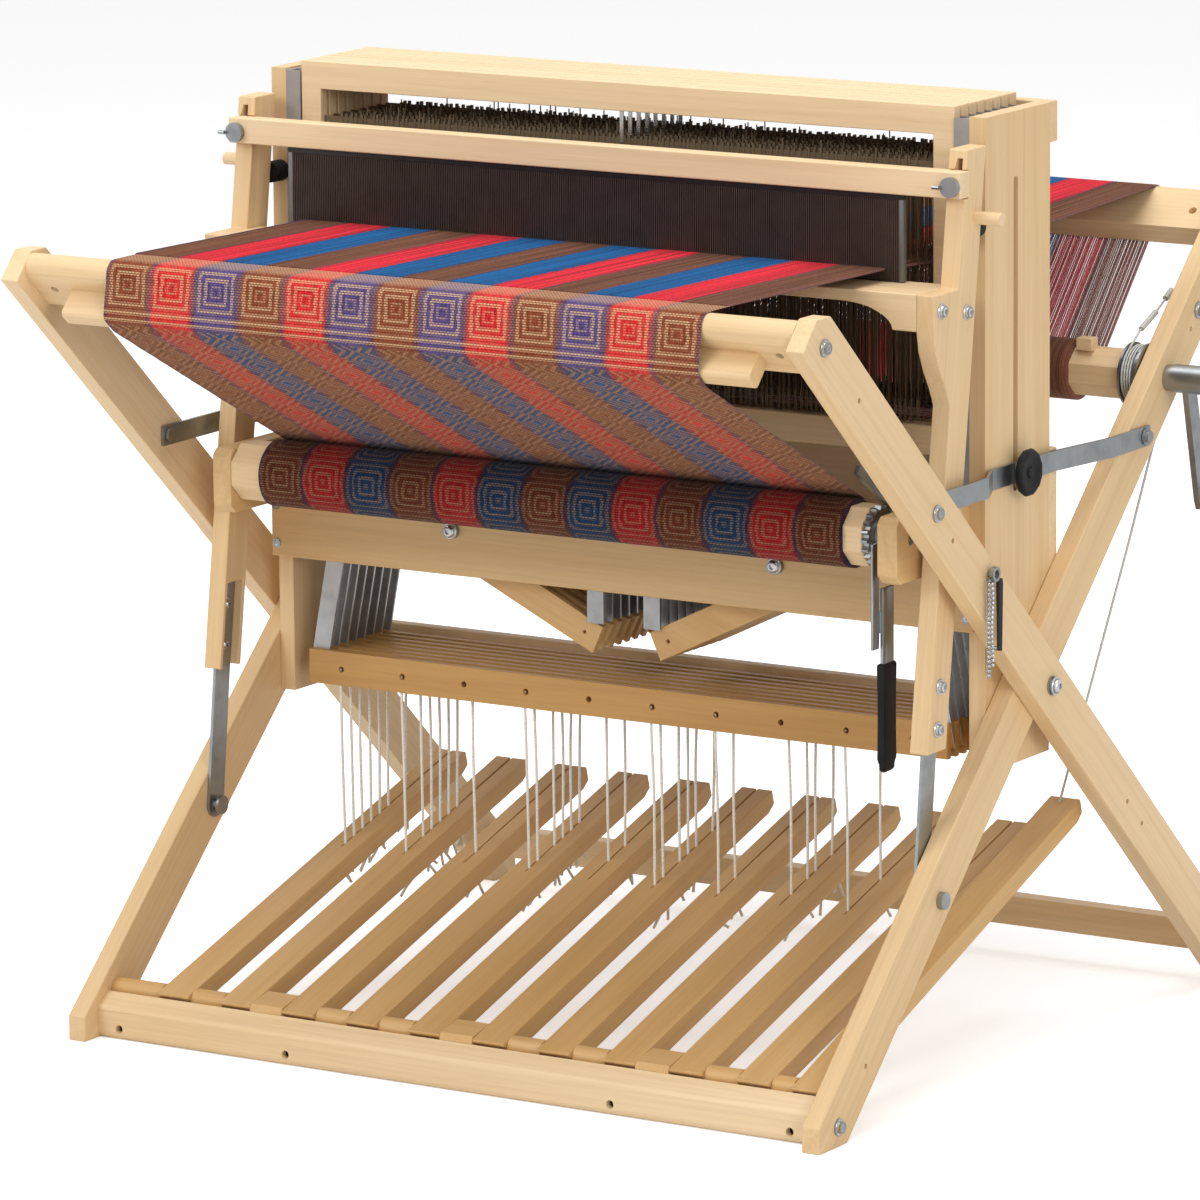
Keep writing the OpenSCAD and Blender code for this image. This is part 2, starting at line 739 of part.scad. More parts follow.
module shaft(y) {
    win = shaft_half - stile_w;
    difference() {
        box([-shaft_half, y - shaft_t / 2, shaft_bottom],
            [shaft_half, y + shaft_t / 2, shaft_top]);
        box([-win, y - shaft_t, shaft_bottom + rail_h], [win, y + shaft_t, shaft_top - rail_h]);
    }
}
module shafts(first) {
    color("wheat") set_down() for (i = [first : 2 : shaft_count - 1]) shaft(shaft_y(i));
}
module shafts_odd() {
    shafts(0);
}
module shafts_even() {
    shafts(1);
}

// Heddle bars with their heddles, which part at the eyes for the warp, and the push bars
module heddle_set(y) {
    win = shaft_half - stile_w;
    push_y = y - shaft_t / 2 + 0.25;
    step = 2 * cloth_half / (heddle_count - 1);
    for (z = [heddle_low, heddle_high])
        box([-win, y - 1, z - 4], [win, y + 1, z + 4]);
    for (i = [0 : heddle_count - 1]) {
        x = i * step - cloth_half;
        box([x - heddle_w / 2, y - 0.4, heddle_low], [x + heddle_w / 2, y + 0.4, eye_low]);
        box([x - heddle_w / 2, y - 0.4, eye_high], [x + heddle_w / 2, y + 0.4, heddle_high]);
    }
    box([-3, y - 2.2, heddle_high], [3, y - 1, shaft_top - rail_h]);
    box([-3, y - 2.2, shaft_bottom + rail_h], [3, y - 1, heddle_low]);
    both_sides() box([22, push_y, 354], [40, push_y + metal_t, shaft_bottom]);
}
module heddles(first) {
    color("darkgray") set_down() for (i = [first : 2 : shaft_count - 1])
        heddle_set(shaft_y(i));
}
module heddles_odd() {
    heddles(0);
}
module heddles_even() {
    heddles(1);
}

// A jack: a bell crank on the rod, its inner arm slanting down to the middle
jack_outline = [[37.3, 345.8], [jack_x - 15.5, 405.6], [jack_x + 27.5, 420],
    [jack_out - 2, 434], [jack_out, 440], [jack_out, 456], [jack_out - 4, 461],
    [jack_x + 12.5, 472], [jack_x - 12.5, 472], [jack_x - 25.5, 433.5], [25.8, 371.8]];
module jacks(first) {
    color("wheat") set_down() for (i = [first : 2 : shaft_count - 1]) difference() {
        front_plate(shaft_y(i) - 1, slat_t) polygon(jack_outline);
        bar_y(jack_x, jack_z, shaft_y(i) - 2, shaft_y(i) + slat_t, jack_pin_r + turn_gap);
        bar_y(46, 365.6, shaft_y(i) - 2, shaft_y(i) + slat_t, 2);
    }
}
module jacks_right_odd() {
    jacks(0);
}
module jacks_right_even() {
    jacks(1);
}
module jacks_left_odd() {
    mirror([1, 0, 0]) jacks(0);
}
module jacks_left_even() {
    mirror([1, 0, 0]) jacks(1);
}

// A lamm with its row of holes, and the slanted side bars that join it to the jacks
module lamm(y) {
    front = y - shaft_t / 2 - slat_t + 0.25;
    back = front + slat_t;
    difference() {
        box([-lamm_half, front, lamm_low], [lamm_half, back, lamm_low + lamm_h]);
        for (k = [1 : treadle_count])
            bar_y(treadle_x(k), lamm_hole_z, front - 1, back + 1, 3);
    }
    both_sides() front_plate(back, metal_t)
        polygon([[lamm_half - 15, 298], [lamm_half + 4, 298], [lamm_half - 25, 452],
            [lamm_half - 44, 452]]);
}
module lamms(first) {
    color("peru") set_down() for (i = [first : 2 : shaft_count - 1]) lamm(shaft_y(i));
}
module lamms_odd() {
    lamms(0);
}
module lamms_even() {
    lamms(1);
}

// Treadles

// Outline of a treadle in [y, z], from the front end over the rod to the chamfered back end
function treadle_top(slope, y) = rod_z + 10 / cos(slope) + (y - rod_y) * tan(slope);
module treadle_outline(slope, back) {
    drop = treadle_t / cos(slope);
    end = treadle_top(slope, back);
    polygon([[-351.4, treadle_top(slope, -351.4)], [back, end],
        [back + 4, end - drop * 0.7], [back - 6, treadle_top(slope, back - 6) - drop],
        [-334, treadle_top(slope, -334) - drop], [-351, treadle_top(slope, -351) - 3.4]]);
}
module treadle(i) {
    x = treadle_x(i);
    kerf_from = -66;
    color("burlywood") set_down() difference() {
        plate(x - treadle_w / 2, treadle_w) treadle_outline(treadle_slope, treadle_back);
        bar_x(x - treadle_w, x + treadle_w, rod_d / 2 + turn_gap, [rod_y, rod_z]);
        plate(x - 0.9, 1.8) polygon([
            [kerf_from, treadle_top(treadle_slope, kerf_from) - 9],
            [kerf_from, treadle_top(treadle_slope, kerf_from) + 9],
            [treadle_back + 9, treadle_top(treadle_slope, treadle_back + 9) + 9],
            [treadle_back + 9, treadle_top(treadle_slope, treadle_back + 9) - 9]]);
    }
}
module treadle_1() {
    treadle(1);
}
module treadle_2() {
    treadle(2);
}
module treadle_3() {
    treadle(3);
}
module treadle_4() {
    treadle(4);
}
module treadle_5() {
    treadle(5);
}
module treadle_6() {
    treadle(6);
}
module treadle_7() {
    treadle(7);
}
module treadle_8() {
    treadle(8);
}
module treadle_9() {
    treadle(9);
}
module treadle_10() {
    treadle(10);
}

module brake_pedal() {
    color("burlywood") set_down() difference() {
        plate(pedal_in, pedal_w) treadle_outline(pedal_slope, pedal_back);
        bar_x(pedal_in - 1, pedal_in + pedal_w + 1, rod_d / 2 + turn_gap, [rod_y, rod_z]);
    }
}

// The cords from the lamms' holes to the treadles: which lamms each treadle pulls
tie_up = [[1, 2, 3, 4, 5, 6, 8], [1, 3, 4, 5, 6, 7], [2], [1, 2, 4, 5, 6, 7], [3, 5],
    [1, 2, 4, 5, 6, 8], [1, 3], [2, 4, 5, 7], [1, 5], []];
cord_r = 1.2;
module tie_up_cords() {
    color("white") set_down() for (k = [1 : treadle_count]) for (n = tie_up[k - 1])
        if (n <= shaft_count) {
            y = shaft_y(n - 1) - shaft_t / 2 - slat_t / 2 + 0.25;
            x = treadle_x(k);
            foot = treadle_top(treadle_slope, y) + 1;
            lean_x = 3 * (n - 4.5);
            sweep([[x + lean_x * 0.2, y, lamm_low - 0.5],
                [x + lean_x, y, (lamm_low + foot) / 2],
                [x + lean_x * 0.4, y, foot]], cord_r, 6);
        }
}

// Cloth beam

// An octagonal beam along X with width w across its flats
module octagon_beam(x0, x1, w, p) {
    translate([x0, p[0], p[1]]) rotate([0, 90, 0]) rotate(22.5)
        cylinder(r = w / 2 / cos(22.5), h = x1 - x0, $fn = 8);
}

module cloth_beam() {
    color("wheat") set_down() difference() {
        octagon_beam(-cloth_beam_in, wheel_in, cloth_beam_w, cloth_axis);
        bar_x(-cloth_beam_in - 1, wheel_in + 1, axle_r, cloth_axis);
    }
}

// The ratchet wheel on the cloth beam's axle
module ratchet_wheel() {
    step = 360 / ratchet_teeth;
    teeth = [for (i = [0 : ratchet_teeth - 1]) each [
        wheel_r * [cos(i * step), sin(i * step)],
        wheel_r * [cos((i + 0.22) * step), sin((i + 0.22) * step)],
        (wheel_r - 3.6) * [cos((i + 0.4) * step), sin((i + 0.4) * step)],
        (wheel_r - 3.6) * [cos((i + 0.75) * step), sin((i + 0.75) * step)]]];
    color("silver") set_down() {
        plate(wheel_in, wheel_t) translate(cloth_axis) polygon(teeth);
        bar_x(-axle_end, axle_end, axle_r, cloth_axis);
    }
}

module cloth_roll() {
    color("firebrick") set_down() difference() {
        bar_x(-cloth_half, cloth_half, cloth_roll_d / 2, cloth_axis);
        octagon_beam(-cloth_half - 1, cloth_half + 1, cloth_beam_w, cloth_axis);
    }
}

pawl_pin = cloth_axis + [37.5, 4];
module ratchet_pawl() {
    x0 = wheel_in + 1;
    dir = unit([-78, 53]);
    start = pawl_pin + [2, 9];
    function at(s, n) = start + s * dir + n * [dir[1], -dir[0]];
    color("silver") set_down() difference() {
        union() {
            plate(x0, 4.5) polygon([at(-4, -4.4), at(96, -4.4), at(96, 4), at(46, 4),
                at(42, 7.2), at(36, 4), at(-4, 4)]);
            plate(x0, 4.5) translate(pawl_pin)
                polygon([[-5, -5], [5, -5], [8, 14], [-6, 18]]);
        }
        bar_x(x0 - 1, x0 + 6, 3 + turn_gap, pawl_pin);
    }
}

// The advance lever: a hub on the axle, a strip and plate down to the black grip
module advance_lever() {
    x0 = wheel_in + wheel_t + 0.4;
    color("silver") set_down() difference() {
        union() {
            bar_x(x0, x0 + 2.6, 15, cloth_axis);
            plate(x0, 2.6) translate(cloth_axis - [22.5, 101]) square([11.5, 97]);
            plate(x0, 2.6) translate(cloth_axis - [16.5, 87]) square([25, 20]);
            plate(x0 + 2.6, 3.2) translate(cloth_axis - [9.5, 120]) square([19.5, 74]);
        }
        bar_x(x0 - 1, x0 + 4, axle_r + turn_gap, cloth_axis);
    }
    color("black") set_down()
        plate(x0 - 0.6, 8.4) translate(cloth_axis - [12.5, 216]) square([26, 96]);
}

// Warp beam

module warp_beam() {
    color("wheat") set_down() {
        difference() {
            octagon_beam(-leg_b_in + 3, warp_beam_right, warp_beam_w, warp_axis);
            bar_x(-leg_b_in, warp_beam_right + 1, warp_axle_r, warp_axis);
        }
        box([cloth_half + 2, warp_axis[0] - 17, warp_axis[1] + warp_beam_w / 2 - 1],
            [cloth_half + 18, warp_axis[0] - 3, warp_axis[1] + warp_beam_w / 2 + 11]);
    }
}

// The brake drum, its flange, and the axle through both legs
module brake_drum() {
    x1 = warp_beam_right + drum_w;
    color("gray") set_down() {
        bar_x(warp_beam_right, x1, drum_d / 2, warp_axis);
        bar_x(warp_beam_right, warp_beam_right + 2, drum_d / 2 + 4, warp_axis);
        bar_x(x1 - 2, x1, drum_d / 2 + 4, warp_axis);
        bar_x(-leg_b_out - 3, leg_b_out + 44, warp_axle_r, warp_axis);
        bar_x(-leg_b_out - 5, -leg_b_out - slide_gap, 11, warp_axis);
    }
}

module warp_roll() {
    color("firebrick") set_down() difference() {
        bar_x(-cloth_half, cloth_half - 3, warp_roll_d / 2, warp_axis);
        octagon_beam(-cloth_half - 1, cloth_half + 1, warp_beam_w, warp_axis);
    }
}

// The crank: collar, hub tube, arm and a grip that stands out sideways
module crank_handle() {
    collar = leg_b_out + slide_gap;
    end = leg_b_out + 44;
    arm_x = collar + 19;
    grip = [warp_axis[0] + 26, warp_axis[1] - 118];
    color("silver") set_down() {
        difference() {
            union() {
                bar_x(collar, collar + 7, 12.5, warp_axis);
                bar_x(collar + 7, end, 13.5, warp_axis);
            }
            bar_x(collar - 1, end + 1, warp_axle_r, warp_axis);
        }
        plate(arm_x, 6) polygon([[warp_axis[0] - 9, warp_axis[1] - 10],
            [warp_axis[0] + 9, warp_axis[1] - 10], [grip[0] + 10, grip[1]],
            [grip[0] + 6, grip[1] - 9], [grip[0] - 6, grip[1] - 9], [grip[0] - 10, grip[1]]]);
    }
    color("black") set_down() bar_x(arm_x + 6, arm_x + 78, 12, grip);
}

// The brake cable: turns round the drum, up to the hook, and the cord down to the pedal
cable_r = 1;
cable_turns = 4;
cable_coil_r = drum_d / 2 + cable_r + 0.4;
cable_step = 2.8;
cable_x = warp_beam_right + 3;
sleeve_low = [cable_x, 274, 640];
sleeve_high = [cable_x, 306, 653];
hook_end = [cable_x, 337, 669];
module brake_cable() {
    steps = 24;
    x0 = warp_beam_right + drum_w - 4.4;
    coil = [for (i = [0 : cable_turns * steps]) let (a = 122 - 360 * i / steps)
        [x0 - cable_step * i / steps, warp_axis[0] + cable_coil_r * cos(a),
         warp_axis[1] + cable_coil_r * sin(a)]];
    echo("least gap between the cable's turns", cable_step - 2 * cable_r);
    color("gray") set_down() {
        sweep(concat(coil, [sleeve_low, sleeve_high, hook_end - [0, 12, 6]]), cable_r, 6);
        sweep([sleeve_low + [0, 1, 0.4], sleeve_high - [0, 1, 0.4]], 2.6, 8);
        sweep([hook_end - [0, 13, 6.5], hook_end], 3, 8);
    }
    pedal_top = treadle_top(pedal_slope, 118);
    color("white") set_down()
        sweep([[cable_x - 1, 118, pedal_top + 1.2], [cable_x, 252, 440],
            [cable_x + 1, 385, 680]], cord_r, 6);
}

// Cloth and warp

// The cloth runs from its last woven row over the breast beam, round the bar and to the roll
cloth_t = 1.2;
warp_t = 1;
nose_u = beam_reach + 26.5 - beam_t / 2;
nose_r = beam_t / 2 + cloth_gap;
bar_corner = along_a(beam_reach + 1, -beam_t / 2 - bar_w);
bar_heel = along_a(beam_reach - 18, -beam_t / 2 - bar_w);
fell_y = -385;
front_z = along_a(nose_u, 0)[1] + nose_r;
warp_z = race_top + 11;
module woven_cloth() {
    nose = along_a(nose_u, 0);
    over = arc(nose, nose_r, 182, 90, 12);
    heel = bar_heel + [-1, -1.2];
    r = cloth_roll_d / 2 + cloth_gap + cloth_t;
    aim = cloth_axis - heel;
    turn = atan2(aim[1], aim[0]) + asin(r / norm(aim));
    touch = cloth_axis + r * [-sin(turn), cos(turn)];
    color("firebrick") set_down() plate(-cloth_half, 2 * cloth_half)
        polygon(band(concat([touch, heel, bar_corner + [-0.9, -1.6],
            bar_corner + [-1.4, 1.5]], over, [[fell_y, front_z - 0.1]]), cloth_t));
}

module warp_threads() {
    nose = along_b(nose_u, 0);
    r = warp_roll_d / 2 + cloth_gap;
    aim = warp_axis - nose;
    turn = atan2(aim[1], aim[0]) + asin((r - nose_r) / norm(aim));
    over = arc(nose, nose_r, 92, turn + 90, 14);
    touch = warp_axis + r * [-sin(turn), cos(turn)];
    path = concat([[fell_y + 0.5, front_z - 0.1], [reed_y, warp_z], [0, warp_z - 8]], over,
        [touch]);
    color("firebrick") set_down() plate(-cloth_half, 2 * cloth_half - 3)
        polygon(band(path, warp_t));
}

castle_sides();
castle_boards();
apron_board();
guides_and_bumpers();
cloth_beam_arms();
castle_hardware();
cloth_beam();
ratchet_wheel();
cloth_roll();
ratchet_pawl();
advance_lever();
legs_a();
breast_beam();
rear_floor_bar();
frame_a_hardware();
legs_b();
back_beam();
front_floor_bar();
treadle_rod();
frame_b_hardware();
slot_bolts();
front_links();
rear_links();
knob_left();
knob_right();
beater_pivots();
beater_swords();
beater_hardware();
race_beam();
hand_tree();
reed();
shafts_odd();
shafts_even();
heddles_odd();
heddles_even();
jacks_left_odd();
jacks_left_even();
jacks_right_odd();
jacks_right_even();
lamms_odd();
lamms_even();
treadle_1();
treadle_2();
treadle_3();
treadle_4();
treadle_5();
treadle_6();
treadle_7();
treadle_8();
treadle_9();
treadle_10();
brake_pedal();
tie_up_cords();
warp_beam();
brake_drum();
warp_roll();
crank_handle();
brake_cable();
woven_cloth();
warp_threads();
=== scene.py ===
"""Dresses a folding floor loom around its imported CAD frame: wood, metal, cloth, warp and cords."""

import json
import math
import random

import bmesh
import bpy
from mathutils import Matrix, Vector


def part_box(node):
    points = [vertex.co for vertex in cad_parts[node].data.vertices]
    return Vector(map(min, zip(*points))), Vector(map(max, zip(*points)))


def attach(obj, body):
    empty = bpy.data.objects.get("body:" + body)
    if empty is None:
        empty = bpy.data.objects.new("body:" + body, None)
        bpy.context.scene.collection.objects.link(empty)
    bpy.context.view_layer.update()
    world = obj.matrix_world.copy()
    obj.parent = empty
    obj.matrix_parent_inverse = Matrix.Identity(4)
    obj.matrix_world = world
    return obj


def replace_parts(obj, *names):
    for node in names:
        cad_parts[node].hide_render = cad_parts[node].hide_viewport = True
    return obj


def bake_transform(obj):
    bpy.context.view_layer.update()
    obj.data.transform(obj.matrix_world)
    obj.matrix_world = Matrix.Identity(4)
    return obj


bl_info = {
    "name": "Floor Loom",
    "version": (1, 0, 0),
    "blender": (4, 5, 0),
    "location": "View3D > Sidebar > Loom",
    "description": "Builds the visible pieces of a folding floor loom around its frame",
    "category": "Object",
}

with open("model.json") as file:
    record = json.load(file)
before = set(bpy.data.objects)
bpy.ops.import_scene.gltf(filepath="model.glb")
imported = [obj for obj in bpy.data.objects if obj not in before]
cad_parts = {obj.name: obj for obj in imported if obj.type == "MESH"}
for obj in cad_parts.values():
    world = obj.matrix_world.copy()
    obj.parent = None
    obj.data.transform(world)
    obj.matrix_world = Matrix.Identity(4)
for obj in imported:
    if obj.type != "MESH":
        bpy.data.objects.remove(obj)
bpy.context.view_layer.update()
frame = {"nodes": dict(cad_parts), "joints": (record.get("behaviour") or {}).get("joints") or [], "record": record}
MM = 0.001


def joint_at(name):
    """The point that a joint turns about, in metres."""
    joint = next(j for j in frame["joints"] if j["name"] == name)
    return Vector(joint["pos_m"])


# Places taken from the frame
PIVOT = joint_at("fold")
CLOTH_AXIS = joint_at("cloth_beam_turn")
WARP_AXIS = joint_at("warp_beam_turn")
TREADLE_AXIS = joint_at("treadle_1_press")
STRAP_AXIS = joint_at("beater_swing")
LEG_A = math.radians(42.3)
LEG_B = math.radians(43.0)
LEG_B_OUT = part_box("legs_b")[1].x
LEG_A_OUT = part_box("legs_a")[1].x
SWORD_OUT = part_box("beater_swords")[1].x
STRAP_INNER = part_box("castle_sides")[1].x - 3.1 * MM
CASTLE_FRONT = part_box("castle_sides")[0].y
APRON_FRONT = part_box("apron_board")[0].y
CLOTH_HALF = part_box("cloth_roll")[1].x
SHAFT_PITCH = 15 * MM
FIRST_SHAFT_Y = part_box("shafts_odd")[0].y + 5.75 * MM
SHAFT_COUNT = 8
TREADLE_COUNT = 10
REED_LOW, REED_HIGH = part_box("reed")
EYE_Z = 741 * MM
HEDDLE_BARS = (606 * MM, 833 * MM)
NOSE_REACH = 568 * MM
NOSE_RADIUS = 13 * MM


def on_leg_a(reach, off=0.0):
    """(y, z) at a distance along the front legs from the pivot, and off their middle."""
    return (PIVOT.y - reach * math.cos(LEG_A) + off * math.sin(LEG_A),
            PIVOT.z + reach * math.sin(LEG_A) + off * math.cos(LEG_A))


def on_leg_b(reach, off=0.0):
    """(y, z) at a distance along the rear legs from the pivot, and off their middle."""
    return (PIVOT.y + reach * math.cos(LEG_B) - off * math.sin(LEG_B),
            PIVOT.z + reach * math.sin(LEG_B) + off * math.cos(LEG_B))


def arc(centre, radius, first, last, steps):
    """Points (y, z) on an arc, with its angles in degrees."""
    angles = [math.radians(first + (last - first) * i / steps) for i in range(steps + 1)]
    return [(centre[0] + radius * math.cos(a), centre[1] + radius * math.sin(a))
            for a in angles]


def tangent_turn(nose, nose_radius, roll, roll_radius):
    """The slope of a line that leaves the nose's outer side and meets a roll's far side."""
    aim = (roll[0] - nose[0], roll[1] - nose[1])
    return math.atan2(aim[1], aim[0]) + math.asin((roll_radius - nose_radius) / math.hypot(*aim))


def tangent_point(start, centre, radius):
    """(y, z) where a line from start touches a circle on the line's left."""
    aim = (centre[0] - start[0], centre[1] - start[1])
    turn = math.atan2(aim[1], aim[0]) + math.asin(radius / math.hypot(*aim))
    return (centre[0] - radius * math.sin(turn), centre[1] + radius * math.cos(turn))


# Materials


class Finish:
    """A procedural material and short ways to add nodes to it."""

    def __init__(self, name):
        self.material = bpy.data.materials.new(name)
        self.material.use_nodes = True
        self.nodes = self.material.node_tree.nodes
        self.links = self.material.node_tree.links
        self.shader = self.nodes["Principled BSDF"]

    def set(self, **values):
        """Writes plain values on the shader's own sockets."""
        for key, value in values.items():
            self.shader.inputs[key.replace("_", " ")].default_value = value

    def feed(self, socket, source):
        """Links a node's output to a named socket of the shader."""
        self.links.new(source, self.shader.inputs[socket])

    def put(self, target, value):
        if isinstance(value, bpy.types.NodeSocket):
            self.links.new(value, target)
        else:
            target.default_value = value

    def math(self, operation, a, b=0.0, c=0.0):
        node = self.nodes.new("ShaderNodeMath")
        node.operation = operation
        for target, value in zip(node.inputs, (a, b, c)):
            self.put(target, value)
        return node.outputs[0]

    def mix(self, factor, a, b, mode="MIX"):
        node = self.nodes.new("ShaderNodeMix")
        node.data_type = "RGBA"
        node.blend_type = mode
        for index, value in ((0, factor), (6, a), (7, b)):
            self.put(node.inputs[index], value)
        return node.outputs[2]

    def ramp(self, factor, stops, constant=False):
        node = self.nodes.new("ShaderNodeValToRGB")
        self.links.new(factor, node.inputs[0])
        elements = node.color_ramp.elements
        while len(elements) < len(stops):
            elements.new(0.5)
        for element, (place, colour) in zip(elements, stops):
            element.position = place
            element.color = colour
        if constant:
            node.color_ramp.interpolation = "CONSTANT"
        return node.outputs[0]

    def place(self, turn=(0, 0, 0), scale=(1, 1, 1), shift=(0, 0, 0), uv=None):
        """The object's coordinates, or a UV map's, first turned and then scaled."""
        if uv:
            source = self.nodes.new("ShaderNodeUVMap")
            source.uv_map = uv
            output = source.outputs[0]
        else:
            source = self.nodes.new("ShaderNodeTexCoord")
            output = source.outputs["Object"]
        if tuple(turn) != (0, 0, 0):
            first = self.nodes.new("ShaderNodeMapping")
            first.inputs["Rotation"].default_value = turn
            self.links.new(output, first.inputs[0])
            output = first.outputs[0]
        node = self.nodes.new("ShaderNodeMapping")
        node.inputs["Scale"].default_value = scale
        node.inputs["Location"].default_value = shift
        self.links.new(output, node.inputs[0])
        return node.outputs[0]

    def split(self, vector):
        node = self.nodes.new("ShaderNodeSeparateXYZ")
        self.links.new(vector, node.inputs[0])
        return node.outputs

    def noise(self, vector, scale=1.0, detail=3.0, rough=0.5, warp=0.0):
        node = self.nodes.new("ShaderNodeTexNoise")
        self.links.new(vector, node.inputs["Vector"])
        node.inputs["Scale"].default_value = scale
        node.inputs["Detail"].default_value = detail
        node.inputs["Roughness"].default_value = rough
        node.inputs["Distortion"].default_value = warp
        return node.outputs[0]

    def bump(self, height, strength, distance):
        node = self.nodes.new("ShaderNodeBump")
        node.inputs["Strength"].default_value = strength
        node.inputs["Distance"].default_value = distance
        self.links.new(height, node.inputs["Height"])
        self.feed("Normal", node.outputs[0])


def rgb(red, green, blue):
    """A colour as seen on a screen, 0 to 255, as linear values."""
    def linear(value):
        value /= 255
        return value / 12.92 if value <= 0.04045 else ((value + 0.055) / 1.055) ** 2.4
    return (linear(red), linear(green), linear(blue), 1.0)


def grey(value):
    return (value, value, value, 1)


def maple(name, along, light, dark, shift=0.0):
    """Oiled maple with fine pores and soft growth figure that runs along a direction."""
    finish = Finish(name)
    along = Vector(along).normalized()
    side = along.orthogonal().normalized()
    turn = Matrix((along, side, along.cross(side))).to_euler()
    offset = (shift, shift * 0.7, shift * 1.3)
    figure = finish.noise(finish.place(turn, (0.45, 9, 9), offset), 1.0, 2.0, 0.5, 0.15)
    rings = finish.math("SINE", finish.math("MULTIPLY", figure, 64.0))
    rings = finish.math("POWER", finish.math("MULTIPLY_ADD", rings, 0.5, 0.5), 3.0)
    fibres = finish.noise(finish.place(turn, (7, 300, 300), offset), 1.0, 4.0, 0.6)
    pores = finish.noise(finish.place(turn, (22, 900, 900), offset), 1.0, 2.0, 0.5)
    tone = finish.noise(finish.place(turn, (0.5, 3, 3), offset), 1.0, 1.0, 0.5)
    base = finish.ramp(tone, [(0.30, light), (0.74, dark)])
    streak = finish.ramp(fibres, [(0.3, (0.93, 0.91, 0.88, 1)), (0.62, (1.02, 1.015, 1.0, 1))])
    colour = finish.mix(1.0, base, streak, "MULTIPLY")
    ring = finish.mix(rings, grey(1), (0.90, 0.84, 0.76, 1))
    colour = finish.mix(0.42, colour, finish.mix(1.0, colour, ring, "MULTIPLY"))
    fleck = finish.ramp(pores, [(0.66, grey(1)), (0.76, (0.82, 0.75, 0.66, 1))])
    finish.feed("Base Color", finish.mix(0.5, colour, finish.mix(1.0, colour, fleck, "MULTIPLY")))
    finish.feed("Roughness", finish.math("MULTIPLY_ADD", fibres, 0.2, 0.38))
    finish.bump(finish.math("ADD", fibres, pores), 0.08, 0.0004)
    finish.set(Specular_IOR_Level=0.4)
    return finish.material


def brushed(name, colour, rough=0.3, lines=(1, 0, 0), metallic=1.0):
    """Plated or bare steel with fine drawn lines and faint cloudy patches."""
    finish = Finish(name)
    along = Vector(lines).normalized()
    side = along.orthogonal().normalized()
    turn = Matrix((along, side, along.cross(side))).to_euler()
    drawn = finish.noise(finish.place(turn, (30, 1500, 1500)), 1.0, 2.0)
    cloud = finish.noise(finish.place((0, 0, 0), (60, 60, 60)), 1.0, 3.0)
    pale = tuple(min(1.0, c * 1.08) for c in colour[:3]) + (1,)
    dark = tuple(c * 0.86 for c in colour[:3]) + (1,)
    finish.feed("Base Color", finish.ramp(cloud, [(0.3, dark), (0.5, colour), (0.72, pale)]))
    finish.feed("Roughness", finish.math("MULTIPLY_ADD", drawn, 0.3, rough - 0.1))
    finish.bump(drawn, 0.08, 0.0002)
    finish.set(Metallic=metallic)
    return finish.material


def moulded(name, colour, rough=0.45, grain=0.12):
    """Moulded plastic or rubber with a fine even skin."""
    finish = Finish(name)
    skin = finish.noise(finish.place((0, 0, 0), (900, 900, 900)), 1.0, 2.0)
    smudge = finish.noise(finish.place((0, 0, 0), (35, 35, 35)), 1.0, 3.0)
    pale = tuple(min(1.0, c * 1.3 + 0.002) for c in colour[:3]) + (1,)
    finish.feed("Base Color", finish.ramp(smudge, [(0.35, colour), (0.75, pale)]))
    finish.feed("Roughness", finish.math("MULTIPLY_ADD", smudge, 0.25, rough - 0.1))
    finish.bump(skin, grain, 0.0003)
    finish.set(Specular_IOR_Level=0.22)
    return finish.material


STRIPES = 13
STRIPE_WIDTH = 2 * CLOTH_HALF / STRIPES
# Distances along the cloth from its last row: the squares' middle, and the end of the bands
SQUARES_AT = 63 * MM
BANDS_END = 103 * MM
WEFT_PITCH = 2.3 * MM
FLOAT_LENGTH = 3.6 * MM


def stripe_colours(finish, across, brown, blue, red):
    """The mirrored order of the warp's stripes, from a coordinate that runs 0 to 1 across."""
    stray = finish.noise(finish.place((0, 0, 0), (900, 160, 160)), 1.0, 1.0)
    across = finish.math("MULTIPLY_ADD", finish.math("SUBTRACT", stray, 0.5), 0.008, across)
    place = finish.math("MULTIPLY", across, float(STRIPES))
    index = finish.math("FLOOR", place)
    from_middle = finish.math("ABSOLUTE", finish.math("SUBTRACT", index, STRIPES // 2))
    kind = finish.math("DIVIDE", finish.math("MODULO", from_middle, 3.0), 3.0)
    colour = finish.ramp(kind, [(0.0, brown), (0.2, blue), (0.5, red)], constant=True)
    return colour, finish.math("SUBTRACT", finish.math("FRACT", place), 0.5)


